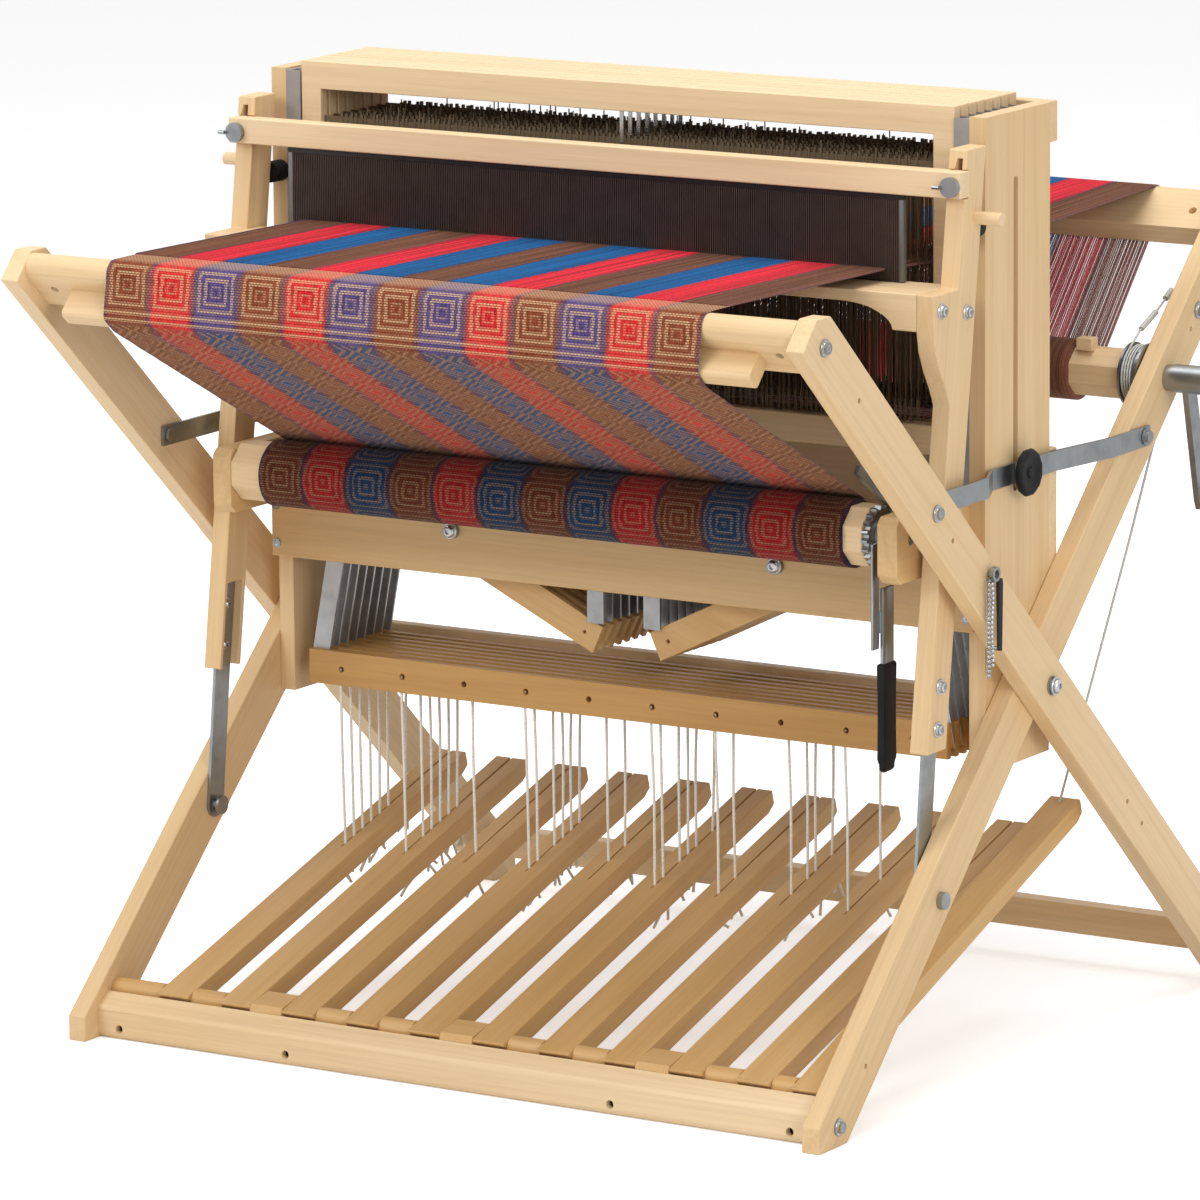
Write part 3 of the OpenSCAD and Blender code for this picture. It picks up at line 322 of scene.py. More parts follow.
def warp_yarn(name, painted_light):
    """Loose warp threads, coloured in wide stripes across the loom, and paled by a share of painted light."""
    finish = Finish(name)
    position = finish.place()
    x = finish.split(position)[0]
    across = finish.math("MULTIPLY_ADD", x, 0.5 / CLOTH_HALF, 0.5)
    colours = bpy.context.scene.loom
    colour, fx = stripe_colours(finish, across, colours.warp_brown, colours.warp_blue,
                                colours.warp_red)
    edge = finish.ramp(finish.math("ABSOLUTE", fx), [(0.42, grey(0)), (0.47, grey(0.4))])
    colour = finish.mix(edge, colour, colours.border_purple)
    # painted light: a share of pale lilac mixed in, for the threads behind the back beam as if lit from behind
    if painted_light:
        colour = finish.mix(painted_light, colour, colours.painted_light_lilac)
    each = finish.noise(finish.place((0, 0, 0), (640, 3, 3)), 1.0, 1.0)
    fuzz = finish.noise(finish.place((0, 0, 0), (900, 260, 260)), 1.0, 3.0)
    shade = finish.ramp(each, [(0.32, (0.55, 0.53, 0.53, 1)), (0.66, (1.24, 1.2, 1.16, 1))])
    colour = finish.mix(1.0, colour, shade, "MULTIPLY")
    twist = finish.ramp(fuzz, [(0.3, (0.75, 0.75, 0.75, 1)), (0.7, (1.1, 1.1, 1.1, 1))])
    finish.feed("Base Color", finish.mix(1.0, colour, twist, "MULTIPLY"))
    finish.bump(fuzz, 0.3, 0.0004)
    finish.set(Roughness=0.88, Sheen_Weight=0.15, Specular_IOR_Level=0.15)
    return finish.material


def woven_finish(finish, across, along, cover, ground, weft, dark, even=0.0):
    """Lays short pale weft floats over the coloured ground as far as cover says.

    Where even is near 1, the floats run together into lines.
    """
    rows = finish.math("MULTIPLY", along, 1.0 / WEFT_PITCH)
    step = finish.math("MULTIPLY", finish.math("FLOOR", rows), 0.5)
    ends = finish.math("MULTIPLY_ADD", across, 2 * CLOTH_HALF / FLOAT_LENGTH, step)
    row = finish.math("MULTIPLY_ADD", finish.math(
        "SINE", finish.math("MULTIPLY", rows, math.tau)), 0.5, 0.5)
    end = finish.math("MULTIPLY_ADD", finish.math(
        "SINE", finish.math("MULTIPLY", ends, math.tau)), 0.38, 0.62)
    floats = finish.math("MULTIPLY", row, end)
    run = finish.math("MULTIPLY_ADD", row, 0.35, 0.3)
    floats = finish.mix(even, floats, run)
    patch = finish.noise(finish.place((0, 0, 0), (60, 60, 60)), 1.0, 3.0)
    cover = finish.math("MULTIPLY_ADD", finish.math("SUBTRACT", patch, 0.5), 0.35, cover)
    pale = finish.math("MULTIPLY", finish.math("MULTIPLY_ADD", floats, 1.6, 0.06), cover)
    pale = finish.math("MINIMUM", finish.math("MAXIMUM", pale, 0.0), 1.0)
    threads = finish.noise(finish.place((0, 0, 0), (800, 120, 120)), 1.0, 2.0)
    shade = finish.ramp(threads, [(0.3, (0.52, 0.50, 0.50, 1)), (0.7, (1.22, 1.18, 1.14, 1))])
    # painted shade: the ground darkens in the gaps between weft rows
    row_gap_shade = finish.ramp(row, [(0.0, grey(0.62)), (0.6, grey(1.08))])
    ground = finish.mix(1.0, finish.mix(1.0, ground, shade, "MULTIPLY"), row_gap_shade, "MULTIPLY")
    cloth = finish.mix(pale, ground, weft)
    # dark multiplies the whole cloth: painted shade, 0.42 for the cloth on the roll and 1.0 in front
    finish.feed("Base Color", finish.mix(1.0, cloth, grey(dark), "MULTIPLY"))
    finish.bump(floats, 0.7, 0.0007)
    finish.set(Roughness=0.92, Sheen_Weight=0.08, Specular_IOR_Level=0.08)
    return finish.material


def seams(finish, fx, ground, border):
    """Mixes the border colour in along both edges of a stripe."""
    edge = finish.ramp(fx, [(0.40, grey(0)), (0.45, grey(0.6)), (0.5, grey(0.75))])
    return finish.mix(edge, ground, border)


def front_cloth():
    """Cloth over the breast beam: a pale band, squares, two lines, then diamonds.

    The cloth's UV map holds the share across it, and the distance from its last row in metres.
    """
    finish = Finish("woven cloth")
    colours = bpy.context.scene.loom
    across, along, _ = finish.split(finish.place(uv="UVMap"))
    drop, fx = stripe_colours(finish, across, colours.cloth_brown, colours.cloth_blue,
                              colours.cloth_red)
    back, _ = stripe_colours(finish, across, colours.back_brown, colours.back_blue,
                             colours.back_red)
    fx = finish.math("ABSOLUTE", fx)
    square_y = finish.math("ABSOLUTE", finish.math("SUBTRACT", along, SQUARES_AT))
    square = finish.math("MAXIMUM", fx, finish.math("DIVIDE", square_y, STRIPE_WIDTH))
    squares = finish.ramp(square, [
        (0.0, grey(0.0)), (0.06, grey(0.02)), (0.08, grey(0.45)), (0.11, grey(0.45)),
        (0.13, grey(0.0)), (0.18, grey(0.02)), (0.20, grey(0.85)), (0.25, grey(0.85)),
        (0.27, grey(0.05)), (0.32, grey(0.08)), (0.34, grey(0.85)), (0.385, grey(0.85)),
        (0.41, grey(0.16)), (0.5, grey(0.28))])
    steps = finish.math("DIVIDE", finish.math("SUBTRACT", along, SQUARES_AT), STRIPE_WIDTH)
    fy = finish.math("ABSOLUTE", finish.math("SUBTRACT", finish.math("FRACT", steps), 0.5))
    diamond = finish.math("ADD", fx, fy)
    diamonds = finish.ramp(diamond, [
        (0.0, grey(0.0)), (0.12, grey(0.0)), (0.16, grey(0.7)), (0.20, grey(0.7)),
        (0.24, grey(0.05)), (0.29, grey(0.08)), (0.33, grey(0.72)), (0.37, grey(0.72)),
        (0.41, grey(0.08)), (0.48, grey(0.12)), (0.52, grey(0.75)), (0.56, grey(0.75)),
        (0.61, grey(0.1)), (0.69, grey(0.15)), (0.73, grey(0.7)), (0.78, grey(0.7)),
        (0.83, grey(0.12)), (1.0, grey(0.2))])
    outline = finish.ramp(diamond, [
        (0.0, grey(1.15)), (0.12, grey(1.05)), (0.22, grey(0.6)), (0.27, grey(0.95)),
        (0.40, grey(0.55)), (0.46, grey(0.95)), (0.60, grey(0.55)), (0.66, grey(0.9)),
        (0.83, grey(0.6)), (0.92, grey(0.9))])
    bands = finish.ramp(finish.math("DIVIDE", along, BANDS_END), [
        (0.0, grey(0.66)), (0.32, grey(0.58)), (0.37, grey(0.25)), (0.41, grey(0.0)),
        (0.81, grey(0.05)), (0.835, grey(0.15)), (0.848, grey(1.0)), (0.868, grey(1.0)),
        (0.88, grey(0.05)), (0.905, grey(0.05)), (0.918, grey(1.0)), (0.938, grey(1.0)),
        (0.95, grey(0.08)), (1.0, grey(0.08))])
    in_squares = finish.math("LESS_THAN", square_y, 0.42 * STRIPE_WIDTH)
    past = finish.math("GREATER_THAN", along, BANDS_END)
    cover = finish.mix(in_squares, bands, squares)
    cover = finish.mix(past, cover, diamonds)
    ground = finish.mix(past, drop, finish.mix(1.0, back, outline, "MULTIPLY"))
    weft = finish.mix(past, colours.weft_beige, colours.weft_tan)
    return woven_finish(finish, across, along, cover,
                        seams(finish, fx, ground, colours.border_purple), weft, 1.0,
                        finish.math("MULTIPLY", past, 0.3))


def rolled_cloth():
    """Cloth on the roll: one row of concentric rounded squares after another, darkened by painted shade."""
    finish = Finish("cloth on roll")
    colours = bpy.context.scene.loom
    across, along, _ = finish.split(finish.place(uv="UVMap"))
    ground, fx = stripe_colours(finish, across, colours.cloth_brown, colours.back_blue,
                                colours.cloth_red)
    fx = finish.math("ABSOLUTE", fx)
    steps = finish.math("DIVIDE", finish.math("SUBTRACT", along, 24 * MM), STRIPE_WIDTH)
    fy = finish.math("ABSOLUTE", finish.math("SUBTRACT", finish.math("FRACT", steps), 0.5))
    both = finish.math("ADD", finish.math("POWER", fx, 8.0), finish.math("POWER", fy, 8.0))
    cover = finish.ramp(finish.math("POWER", both, 0.125), [
        (0.0, grey(0.5)), (0.04, grey(0.4)), (0.07, grey(0.0)), (0.12, grey(0.0)),
        (0.14, grey(0.6)), (0.18, grey(0.6)), (0.20, grey(0.0)), (0.26, grey(0.0)),
        (0.28, grey(0.6)), (0.32, grey(0.6)), (0.34, grey(0.0)), (0.39, grey(0.04)),
        (0.41, grey(0.5)), (0.45, grey(0.5)), (0.47, grey(0.05))])
    # 0.42 is painted shade: the whole roll darkened as if shadowed by the cloth above it
    return woven_finish(finish, across, along, cover,
                        seams(finish, fx, ground, colours.border_purple),
                        colours.weft_beige, 0.42)


def braided(name, colour):
    """Thin cotton cord."""
    finish = Finish(name)
    lay = finish.noise(finish.place((0, 0, 0), (500, 500, 900)), 1.0, 2.0)
    shade = tuple(c * 0.82 for c in colour[:3]) + (1,)
    finish.feed("Base Color", finish.ramp(lay, [(0.35, shade), (0.6, colour)]))
    finish.bump(lay, 0.4, 0.0004)
    finish.set(Roughness=0.85, Specular_IOR_Level=0.2)
    return finish.material


FINISHES = {}


def make_finishes():
    """Builds every material once, from the colours in the panel."""
    look = bpy.context.scene.loom
    light, dark = look.maple_light, look.maple_dark
    honey, brown = look.maple_honey, look.maple_brown
    a_dir = (0, -math.cos(LEG_A), math.sin(LEG_A))
    b_dir = (0, math.cos(LEG_B), math.sin(LEG_B))
    sword_dir = (0, 73.5, 536)
    treadle_dir = (0, math.cos(math.radians(16.4)), math.sin(math.radians(16.4)))
    between = tuple(a * 0.5 + b * 0.5 for a, b in zip(light, dark))
    golden = tuple(a * 0.5 + b * 0.5 for a, b in zip(dark, honey))
    FINISHES.update({
        "upright maple": maple("upright maple", (0, 0, 1), between, dark, 0.3),
        "cross maple": maple("cross maple", (1, 0, 0), light, dark, 1.1),
        "apron maple": maple("apron maple", (1, 0, 0), dark, golden, 5.2),
        "shaft maple": maple("shaft maple", (1, 0, 0), light, between, 4.7),
        "front leg maple": maple("front leg maple", a_dir, light, dark, 2.2),
        "rear leg maple": maple("rear leg maple", b_dir, between, dark, 5.9),
        "sword maple": maple("sword maple", sword_dir, between, dark, 3.1),
        "arm maple": maple("arm maple", (0, 1, 0), dark, golden, 7.3),
        "treadle maple": maple("treadle maple", treadle_dir, golden, honey, 6.4),
        "jack maple": maple("jack maple", (1, 0, -0.4), golden, honey, 8.8),
        "lamm maple": maple("lamm maple", (1, 0, 0), honey, brown, 9.6),
        "birch tube": maple("birch tube", (1, 0, 0), honey, golden, 12.4),
        "zinc": brushed("zinc", rgb(158, 162, 163), 0.3, (0, 0, 1)),
        "aluminium": brushed("aluminium", rgb(182, 183, 184), 0.4, (0, 0, 1)),
        "bright steel": brushed("bright steel", rgb(198, 199, 200), 0.22, (1, 0, 0)),
        "dark steel": brushed("dark steel", rgb(34, 30, 29), 0.5, (0, 0, 1), 0.2),
        "dull steel": brushed("dull steel", rgb(112, 112, 109), 0.45, (0, 0, 1), 0.7),
        "reed steel": brushed("reed steel", rgb(98, 84, 78), 0.4, (0, 0, 1), 0.75),
        "heddle steel": brushed("heddle steel", rgb(112, 96, 74), 0.45, (0, 0, 1), 0.5),
        "push bar steel": brushed("push bar steel", rgb(160, 160, 160), 0.36, (0, 0, 1)),
        "grey plastic": moulded("grey plastic", rgb(150, 146, 142), 0.5),
        "black plastic": moulded("black plastic", rgb(11, 12, 11), 0.5),
        "black rubber": moulded("black rubber", rgb(18, 18, 18), 0.6, 0.3),
        # near-black painted shade for the recessed faces of the front floor bar
        "painted recess shade": moulded("painted recess shade", rgb(14, 13, 12), 0.7),
        "cotton": braided("cotton", rgb(244, 240, 230)),
        "pale cord": braided("pale cord", rgb(206, 206, 200)),
        "warp yarn": warp_yarn("warp yarn", 0.0),
        # the warp behind the back beam, paled by painted light
        "faded warp yarn": warp_yarn("faded warp yarn", 0.4),
        "woven cloth": front_cloth(),
        "cloth on roll": rolled_cloth(),
    })


# Mesh tools


def add_piece(name, bm, body, finishes, smooth=None):
    """Turns a bmesh into a piece that rides on a body, with its materials."""
    mesh = bpy.data.meshes.new(name)
    bm.to_mesh(mesh)
    bm.free()
    piece = bpy.data.objects.new(name, mesh)
    bpy.context.scene.collection.objects.link(piece)
    for finish in ([finishes] if isinstance(finishes, str) else finishes):
        mesh.materials.append(FINISHES[finish])
    if smooth is not None:
        mesh.shade_smooth()
        mesh.set_sharp_from_angle(angle=math.radians(smooth))
    if body:
        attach(piece, body)
    return piece


def body_of(node):
    """The body that a CAD node belongs to."""
    for name, nodes in frame["record"]["behaviour"]["bodies"].items():
        if node in nodes:
            return name
    raise ValueError(node)


def copy_of(node):
    """A bmesh copy of a CAD node, with its loose triangles joined into flat faces."""
    bm = bmesh.new()
    bm.from_mesh(frame["nodes"][node].data)
    bmesh.ops.remove_doubles(bm, verts=bm.verts, dist=0.00002)
    bmesh.ops.dissolve_limit(bm, angle_limit=math.radians(0.6), verts=bm.verts,
                             edges=bm.edges)
    return bm


def ease(bm, width, shortest=0.008, segments=2):
    """Rounds the long sharp edges over, as a router does."""
    sharp = [e for e in bm.edges if len(e.link_faces) == 2
             and e.calc_face_angle(0) > math.radians(28) and e.calc_length() > shortest]
    bmesh.ops.bevel(bm, geom=sharp, offset=width, offset_type="OFFSET", segments=segments,
                    profile=0.5, affect="EDGES", clamp_overlap=True, material=-1)


def eased(node, finishes, width, paint=None, shortest=0.008, segments=2, shape=None):
    """A piece that stands for a CAD node, with eased edges; paint picks a face's finish."""
    bm = copy_of(node)
    if shape:
        shape(bm)
    if paint:
        for face in bm.faces:
            face.material_index = paint(face.calc_center_median(), face.normal)
    ease(bm, width, shortest, segments)
    piece = add_piece(node + "_piece", bm, body_of(node), finishes, 40)
    keep_flat(piece)
    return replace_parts(piece, node)


def keep_flat(piece):
    """Makes the large faces shade flat up to their rounded edges."""
    even = piece.modifiers.new("even shading", "WEIGHTED_NORMAL")
    even.keep_sharp = True
    even.weight = 80


def repaint(node, finish):
    """Gives a CAD node that keeps its own shape a finish."""
    mesh = frame["nodes"][node].data
    mesh.materials.clear()
    mesh.materials.append(FINISHES[finish])


def lathe(bm, profile, centre, axis, segments=28):
    """Spins (radius, height) points about an axis through centre, into bm."""
    axis = Vector(axis).normalized()
    side = axis.orthogonal().normalized()
    points = [bm.verts.new(Vector(centre) + side * r + axis * h) for r, h in profile]
    edges = [bm.edges.new(pair) for pair in zip(points, points[1:])]
    made = bmesh.ops.spin(bm, geom=points + edges, cent=centre, axis=axis,
                          angle=math.tau, steps=segments, use_merge=True)
    bmesh.ops.remove_doubles(bm, verts=[v for v in bm.verts if v.is_valid], dist=0.00001)
    return made


def box_into(bm, low, high):
    """A plain box between two corners, into bm; returns its vertices."""
    size = Vector(high) - Vector(low)
    middle = (Vector(high) + Vector(low)) / 2
    made = bmesh.ops.create_cube(bm, size=1.0)
    bmesh.ops.scale(bm, vec=size, verts=made["verts"])
    bmesh.ops.translate(bm, vec=middle, verts=made["verts"])
    return made["verts"]


def strands(name, lines, radius, body, finish, sides=1, flat=None):
    """Round strands along lists of points, made as one bevelled curve and then a mesh."""
    data = bpy.data.curves.new(name, "CURVE")
    data.dimensions = "3D"
    data.bevel_depth = radius
    data.bevel_resolution = sides
    data.use_fill_caps = True
    for line in lines:
        spline = data.splines.new("POLY")
        spline.points.add(len(line) - 1)
        for point, place in zip(spline.points, line):
            point.co = (*place, 1.0)
    holder = bpy.data.objects.new(name + "_curve", data)
    bpy.context.scene.collection.objects.link(holder)
    bpy.context.view_layer.update()
    mesh = bpy.data.meshes.new_from_object(holder)
    bpy.data.objects.remove(holder)
    bpy.data.curves.remove(data)
    bm = bmesh.new()
    bm.from_mesh(mesh)
    bpy.data.meshes.remove(mesh)
    bmesh.ops.recalc_face_normals(bm, faces=bm.faces)
    return add_piece(name, bm, body, finish, 60)


def resample(path, count):
    """Evenly spaced points along a (y, z) path, and the path's length."""
    lengths = [math.dist(a, b) for a, b in zip(path, path[1:])]
    total = sum(lengths)
    out, leg, done = [], 0, 0.0
    for i in range(count):
        want = total * i / (count - 1)
        while leg < len(lengths) - 1 and done + lengths[leg] < want:
            done += lengths[leg]
            leg += 1
        share = min(1.0, (want - done) / lengths[leg])
        a, b = path[leg], path[leg + 1]
        out.append((a[0] + (b[0] - a[0]) * share, a[1] + (b[1] - a[1]) * share))
    return out, total


def sheet_along(name, path, half, body, finish, across=72, spacing=0.004, wave=0.0,
                closed=False, x_shift=0.0):
    """A sheet that follows a (y, z) path, with a UV map in shares across and metres along."""
    count = 0
    for a, b in zip(path, path[1:]):
        count += math.dist(a, b)
    rows = max(4, int(count / spacing))
    points, total = resample(path, rows + 1)
    bm = bmesh.new()
    bmesh.ops.create_grid(bm, x_segments=across, y_segments=rows, size=1.0, calc_uvs=False)
    layer = bm.loops.layers.uv.new("UVMap")
    chance = random.Random(11)
    drift = [chance.uniform(-1, 1) for _ in range(rows + 3)]
    for vert in bm.verts:
        share = (vert.co.x + 1) / 2
        row = round((vert.co.y + 1) / 2 * rows)
        vert.co.z = row
        edge = max(0.0, abs(vert.co.x) - 0.9) * 10
        sway = (drift[row] + drift[row + 1] + drift[row + 2]) / 3 * wave * edge
        vert.co.x = share
        vert.tag = False
        vert.normal = (0, 0, 0)
        vert.co.y = sway
    for face in bm.faces:
        for loop in face.loops:
            loop[layer].uv = (loop.vert.co.x, loop.vert.co.z / rows * total)
    for vert in bm.verts:
        y, z = points[int(round(vert.co.z))]
        vert.co = Vector(((vert.co.x * 2 - 1) * half + x_shift + vert.co.y, y, z))
    if closed:
        bmesh.ops.remove_doubles(bm, verts=bm.verts, dist=0.00005)
    piece = add_piece(name, bm, body, finish)
    piece.data.shade_smooth()
    return piece, total


# The pieces


class LoomLook(bpy.types.PropertyGroup):
    edge_round: bpy.props.FloatProperty(
        name="Edge rounding", description="Radius of the eased edges of the wood",
        default=1.4 * MM, min=0.2 * MM, max=3 * MM, unit="LENGTH")
    thread_pitch: bpy.props.FloatProperty(
        name="Thread spacing", description="Distance between warp threads",
        default=2.02 * MM, min=1 * MM, max=5 * MM, unit="LENGTH")
    heddles: bpy.props.IntProperty(
        name="Heddles", description="Heddles on each shaft", default=108, min=10, max=120)
    dents: bpy.props.IntProperty(
        name="Dents", description="Blades of the reed", default=330, min=50, max=600)
    maple_light: bpy.props.FloatVectorProperty(
        name="Light maple", description="The wood's paler colour", subtype="COLOR", size=4,
        default=rgb(238, 212, 174), min=0, max=1)
    maple_dark: bpy.props.FloatVectorProperty(
        name="Dark maple", description="The wood's deeper colour", subtype="COLOR", size=4,
        default=rgb(220, 186, 136), min=0, max=1)
    maple_honey: bpy.props.FloatVectorProperty(
        name="Honey maple", description="The treadles' and lamms' paler colour",
        subtype="COLOR", size=4, default=rgb(204, 160, 98), min=0, max=1)
    maple_brown: bpy.props.FloatVectorProperty(
        name="Brown maple", description="The treadles' and lamms' deeper colour",
        subtype="COLOR", size=4, default=rgb(172, 126, 66), min=0, max=1)
    warp_brown: bpy.props.FloatVectorProperty(
        name="Brown warp", description="Colour of the brown warp stripes", subtype="COLOR",
        size=4, default=rgb(124, 80, 58), min=0, max=1)
    warp_blue: bpy.props.FloatVectorProperty(
        name="Blue warp", description="Colour of the blue warp stripes", subtype="COLOR",
        size=4, default=rgb(14, 98, 160), min=0, max=1)
    warp_red: bpy.props.FloatVectorProperty(
        name="Red warp", description="Colour of the red warp stripes", subtype="COLOR",
        size=4, default=rgb(226, 44, 62), min=0, max=1)
    # painted light: the pale colour mixed into the warp behind the back beam
    painted_light_lilac: bpy.props.FloatVectorProperty(
        name="Pale warp", description="Colour mixed into the warp behind the back beam",
        subtype="COLOR", size=4, default=rgb(214, 168, 168), min=0, max=1)
    cloth_brown: bpy.props.FloatVectorProperty(
        name="Brown cloth", description="Woven colour of the brown stripes",
        subtype="COLOR", size=4, default=rgb(142, 70, 42), min=0, max=1)
    cloth_blue: bpy.props.FloatVectorProperty(
        name="Blue cloth", description="Woven colour of the blue stripes",
        subtype="COLOR", size=4, default=rgb(88, 74, 132), min=0, max=1)
    cloth_red: bpy.props.FloatVectorProperty(
        name="Red cloth", description="Woven colour of the red stripes", subtype="COLOR",
        size=4, default=rgb(222, 44, 48), min=0, max=1)
    back_brown: bpy.props.FloatVectorProperty(
        name="Brown cloth, far part", description="Brown stripes of the returning cloth",
        subtype="COLOR", size=4, default=rgb(142, 84, 46), min=0, max=1)
    back_blue: bpy.props.FloatVectorProperty(
        name="Blue cloth, far part", description="Blue stripes of the returning cloth",
        subtype="COLOR", size=4, default=rgb(44, 82, 128), min=0, max=1)
    back_red: bpy.props.FloatVectorProperty(
        name="Red cloth, far part", description="Red stripes of the returning cloth",
        subtype="COLOR", size=4, default=rgb(206, 58, 44), min=0, max=1)
    border_purple: bpy.props.FloatVectorProperty(
        name="Stripe borders", description="Colour along the edges of the woven stripes",
        subtype="COLOR", size=4, default=rgb(84, 48, 84), min=0, max=1)
    weft_tan: bpy.props.FloatVectorProperty(
        name="Weft, far part", description="Colour of the weft in the returning cloth",
        subtype="COLOR", size=4, default=rgb(192, 142, 104), min=0, max=1)
    weft_beige: bpy.props.FloatVectorProperty(
        name="Weft", description="Colour of the weft", subtype="COLOR", size=4,
        default=rgb(214, 176, 134), min=0, max=1)


class LOOM_OT_stage(bpy.types.Operator):
    """Adds the floor, the lights and the camera"""

    bl_idname = "loom.stage"
    bl_label = "Stage"

    def execute(self, context):
        scene = context.scene
        data = bpy.data.cameras.new("camera")
        camera = bpy.data.objects.new("camera", data)
        scene.collection.objects.link(camera)
        forward = Vector((-0.52370, 0.83334, -0.17688))
        right = Vector((0.84752, 0.53069, -0.00907))
        up = right.cross(forward)
        camera.matrix_world = Matrix.Translation((3.7098, PIVOT.y - 6.0612, 1.8030)) @ Matrix(
            (right, up, -forward)).transposed().to_4x4()
        data.sensor_width = 36
        data.lens = 7690.45 / 1200 * 36
        data.shift_x = (600 - 563.43) / 1200
        data.shift_y = (460.69 - 600) / 1200
        data.clip_end = 200
        scene.camera = camera

        floor = bpy.data.meshes.new("floor")
        bm = bmesh.new()
        bmesh.ops.create_grid(bm, x_segments=1, y_segments=1, size=60)
        bm.to_mesh(floor)
        bm.free()
        ground = bpy.data.objects.new("floor", floor)
        scene.collection.objects.link(ground)
        finish = Finish("floor")
        finish.set(Base_Color=(0.93, 0.93, 0.93, 1), Roughness=0.9, Specular_IOR_Level=0.1)
        path = finish.nodes.new("ShaderNodeLightPath")
        glow = finish.nodes.new("ShaderNodeEmission")
        glow.inputs["Strength"].default_value = 0.46
        blend = finish.nodes.new("ShaderNodeAddShader")
        dim = finish.nodes.new("ShaderNodeMixShader")
        finish.links.new(finish.shader.outputs[0], blend.inputs[0])
        finish.links.new(glow.outputs[0], blend.inputs[1])
        finish.links.new(path.outputs["Is Camera Ray"], dim.inputs[0])
        finish.links.new(finish.shader.outputs[0], dim.inputs[1])
        finish.links.new(blend.outputs[0], dim.inputs[2])
        finish.links.new(dim.outputs[0], finish.nodes["Material Output"].inputs[0])
        floor.materials.append(finish.material)

        world = bpy.data.worlds.new("studio")
        scene.world = world
        world.use_nodes = True
        nodes, links = world.node_tree.nodes, world.node_tree.links
        soft = nodes["Background"]
        soft.inputs["Color"].default_value = (1, 1, 1, 1)
        soft.inputs["Strength"].default_value = 0.44
        white = nodes.new("ShaderNodeBackground")
        white.inputs["Color"].default_value = (1, 1, 1, 1)
        white.inputs["Strength"].default_value = 1.0
        ray = nodes.new("ShaderNodeLightPath")
        both = nodes.new("ShaderNodeMath")
        both.operation = "MAXIMUM"
        mix = nodes.new("ShaderNodeMixShader")
        links.new(ray.outputs["Is Camera Ray"], both.inputs[0])
        links.new(ray.outputs["Is Glossy Ray"], both.inputs[1])
        links.new(both.outputs[0], mix.inputs[0])
        links.new(soft.outputs[0], mix.inputs[1])
        links.new(white.outputs[0], mix.inputs[2])
        links.new(mix.outputs[0], nodes["World Output"].inputs[0])

        self.lamp("right softbox", (5.2, -2.6, 2.6), 2.6, 98)
        self.lamp("left softbox", (-2.6, -4.2, 3.9), 3.0, 128)
        self.lamp("top softbox", (0.2, 0.2, 4.6), 3.2, 120)
        scene.view_settings.view_transform = "Standard"
        return {"FINISHED"}

    def lamp(self, name, place, size, power):
        """A square area lamp aimed at the middle of the loom."""
        data = bpy.data.lights.new(name, "AREA")
        data.shape = "SQUARE"
        data.size = size
        data.energy = power
        lamp = bpy.data.objects.new(name, data)
        bpy.context.scene.collection.objects.link(lamp)
        lamp.location = place
        aim = Vector((0, PIVOT.y, 0.5)) - lamp.location
        lamp.rotation_mode = "QUATERNION"
        lamp.rotation_quaternion = aim.to_track_quat("-Z", "Y")


class LOOM_OT_woodwork(bpy.types.Operator):
    """Rounds the edges of the boards, legs, beams and shafts, and gives them their grain"""

    bl_idname = "loom.woodwork"
    bl_label = "Woodwork"

    def execute(self, context):
        width = context.scene.loom.edge_round
        plain = {
            "castle_sides": "upright maple", "castle_boards": "cross maple",
            "apron_board": "apron maple", "cloth_beam_arms": "arm maple",
            "cloth_beam": "cross maple", "legs_a": "front leg maple",
            "breast_beam": "cross maple", "rear_floor_bar": "cross maple",
            "legs_b": "rear leg maple", "back_beam": "cross maple",
            "beater_swords": "sword maple", "race_beam": "cross maple",
            "hand_tree": "cross maple", "warp_beam": "cross maple",
            "brake_pedal": "treadle maple",
        }
        for node, finish in plain.items():
            eased(node, finish, width, shape=self.round_bar if node == "breast_beam" else None)
        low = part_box("front_floor_bar")[0]
        # the recessed faces low on the bar's front take near-black painted shade
        eased("front_floor_bar", ["cross maple", "painted recess shade"], width,
              lambda p, n: int(low.y + 0.5 * MM < p.y < low.y + 8 * MM and p.z < 20 * MM
                               and abs(n.z) < 0.9 and abs(n.y) > 0.9 and p.y > low.y + 5 * MM))
        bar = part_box("treadle_rod")
        eased("treadle_rod", ["birch tube", "treadle maple"], 0.6 * MM,
              lambda p, n: int((p.y - TREADLE_AXIS.y) ** 2 + (p.z - TREADLE_AXIS.z) ** 2
                               > (11.2 * MM) ** 2))
        for group in ("odd", "even"):
            eased("shafts_" + group, "shaft maple", 0.9 * MM)
            for side in ("left", "right"):
                eased("jacks_%s_%s" % (side, group), "jack maple", 0.6 * MM)
            lamm_top = 321.5 * MM
            backs = [FIRST_SHAFT_Y + SHAFT_PITCH * i - 5.5 * MM
                     for i in range(0 if group == "odd" else 1, SHAFT_COUNT, 2)]

            def lamm_or_bar(p, n):
                metal = any(b + 0.05 * MM < p.y < b + 2.6 * MM for b in backs)
                return int(metal or p.z > lamm_top)

            eased("lamms_" + group, ["lamm maple", "aluminium"], 0.5 * MM, lamm_or_bar)
        for i in range(1, TREADLE_COUNT + 1):
            eased("treadle_%d" % i, "treadle maple", width)
        return {"FINISHED"}

    def round_bar(self, bm):
        """Rounds the ends of the bar under the breast beam."""
        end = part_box("cloth_beam_arms")[1].x - 6 * MM
        rim = [e for e in bm.edges if len(e.link_faces) == 2 and e.is_convex and all(
            abs(abs(v.co.x) - end) < 0.3 * MM for v in e.verts)]
        bmesh.ops.bevel(bm, geom=rim, offset=2.2 * MM, offset_type="OFFSET", segments=3,
                        profile=0.5, affect="EDGES", clamp_overlap=True, material=-1)


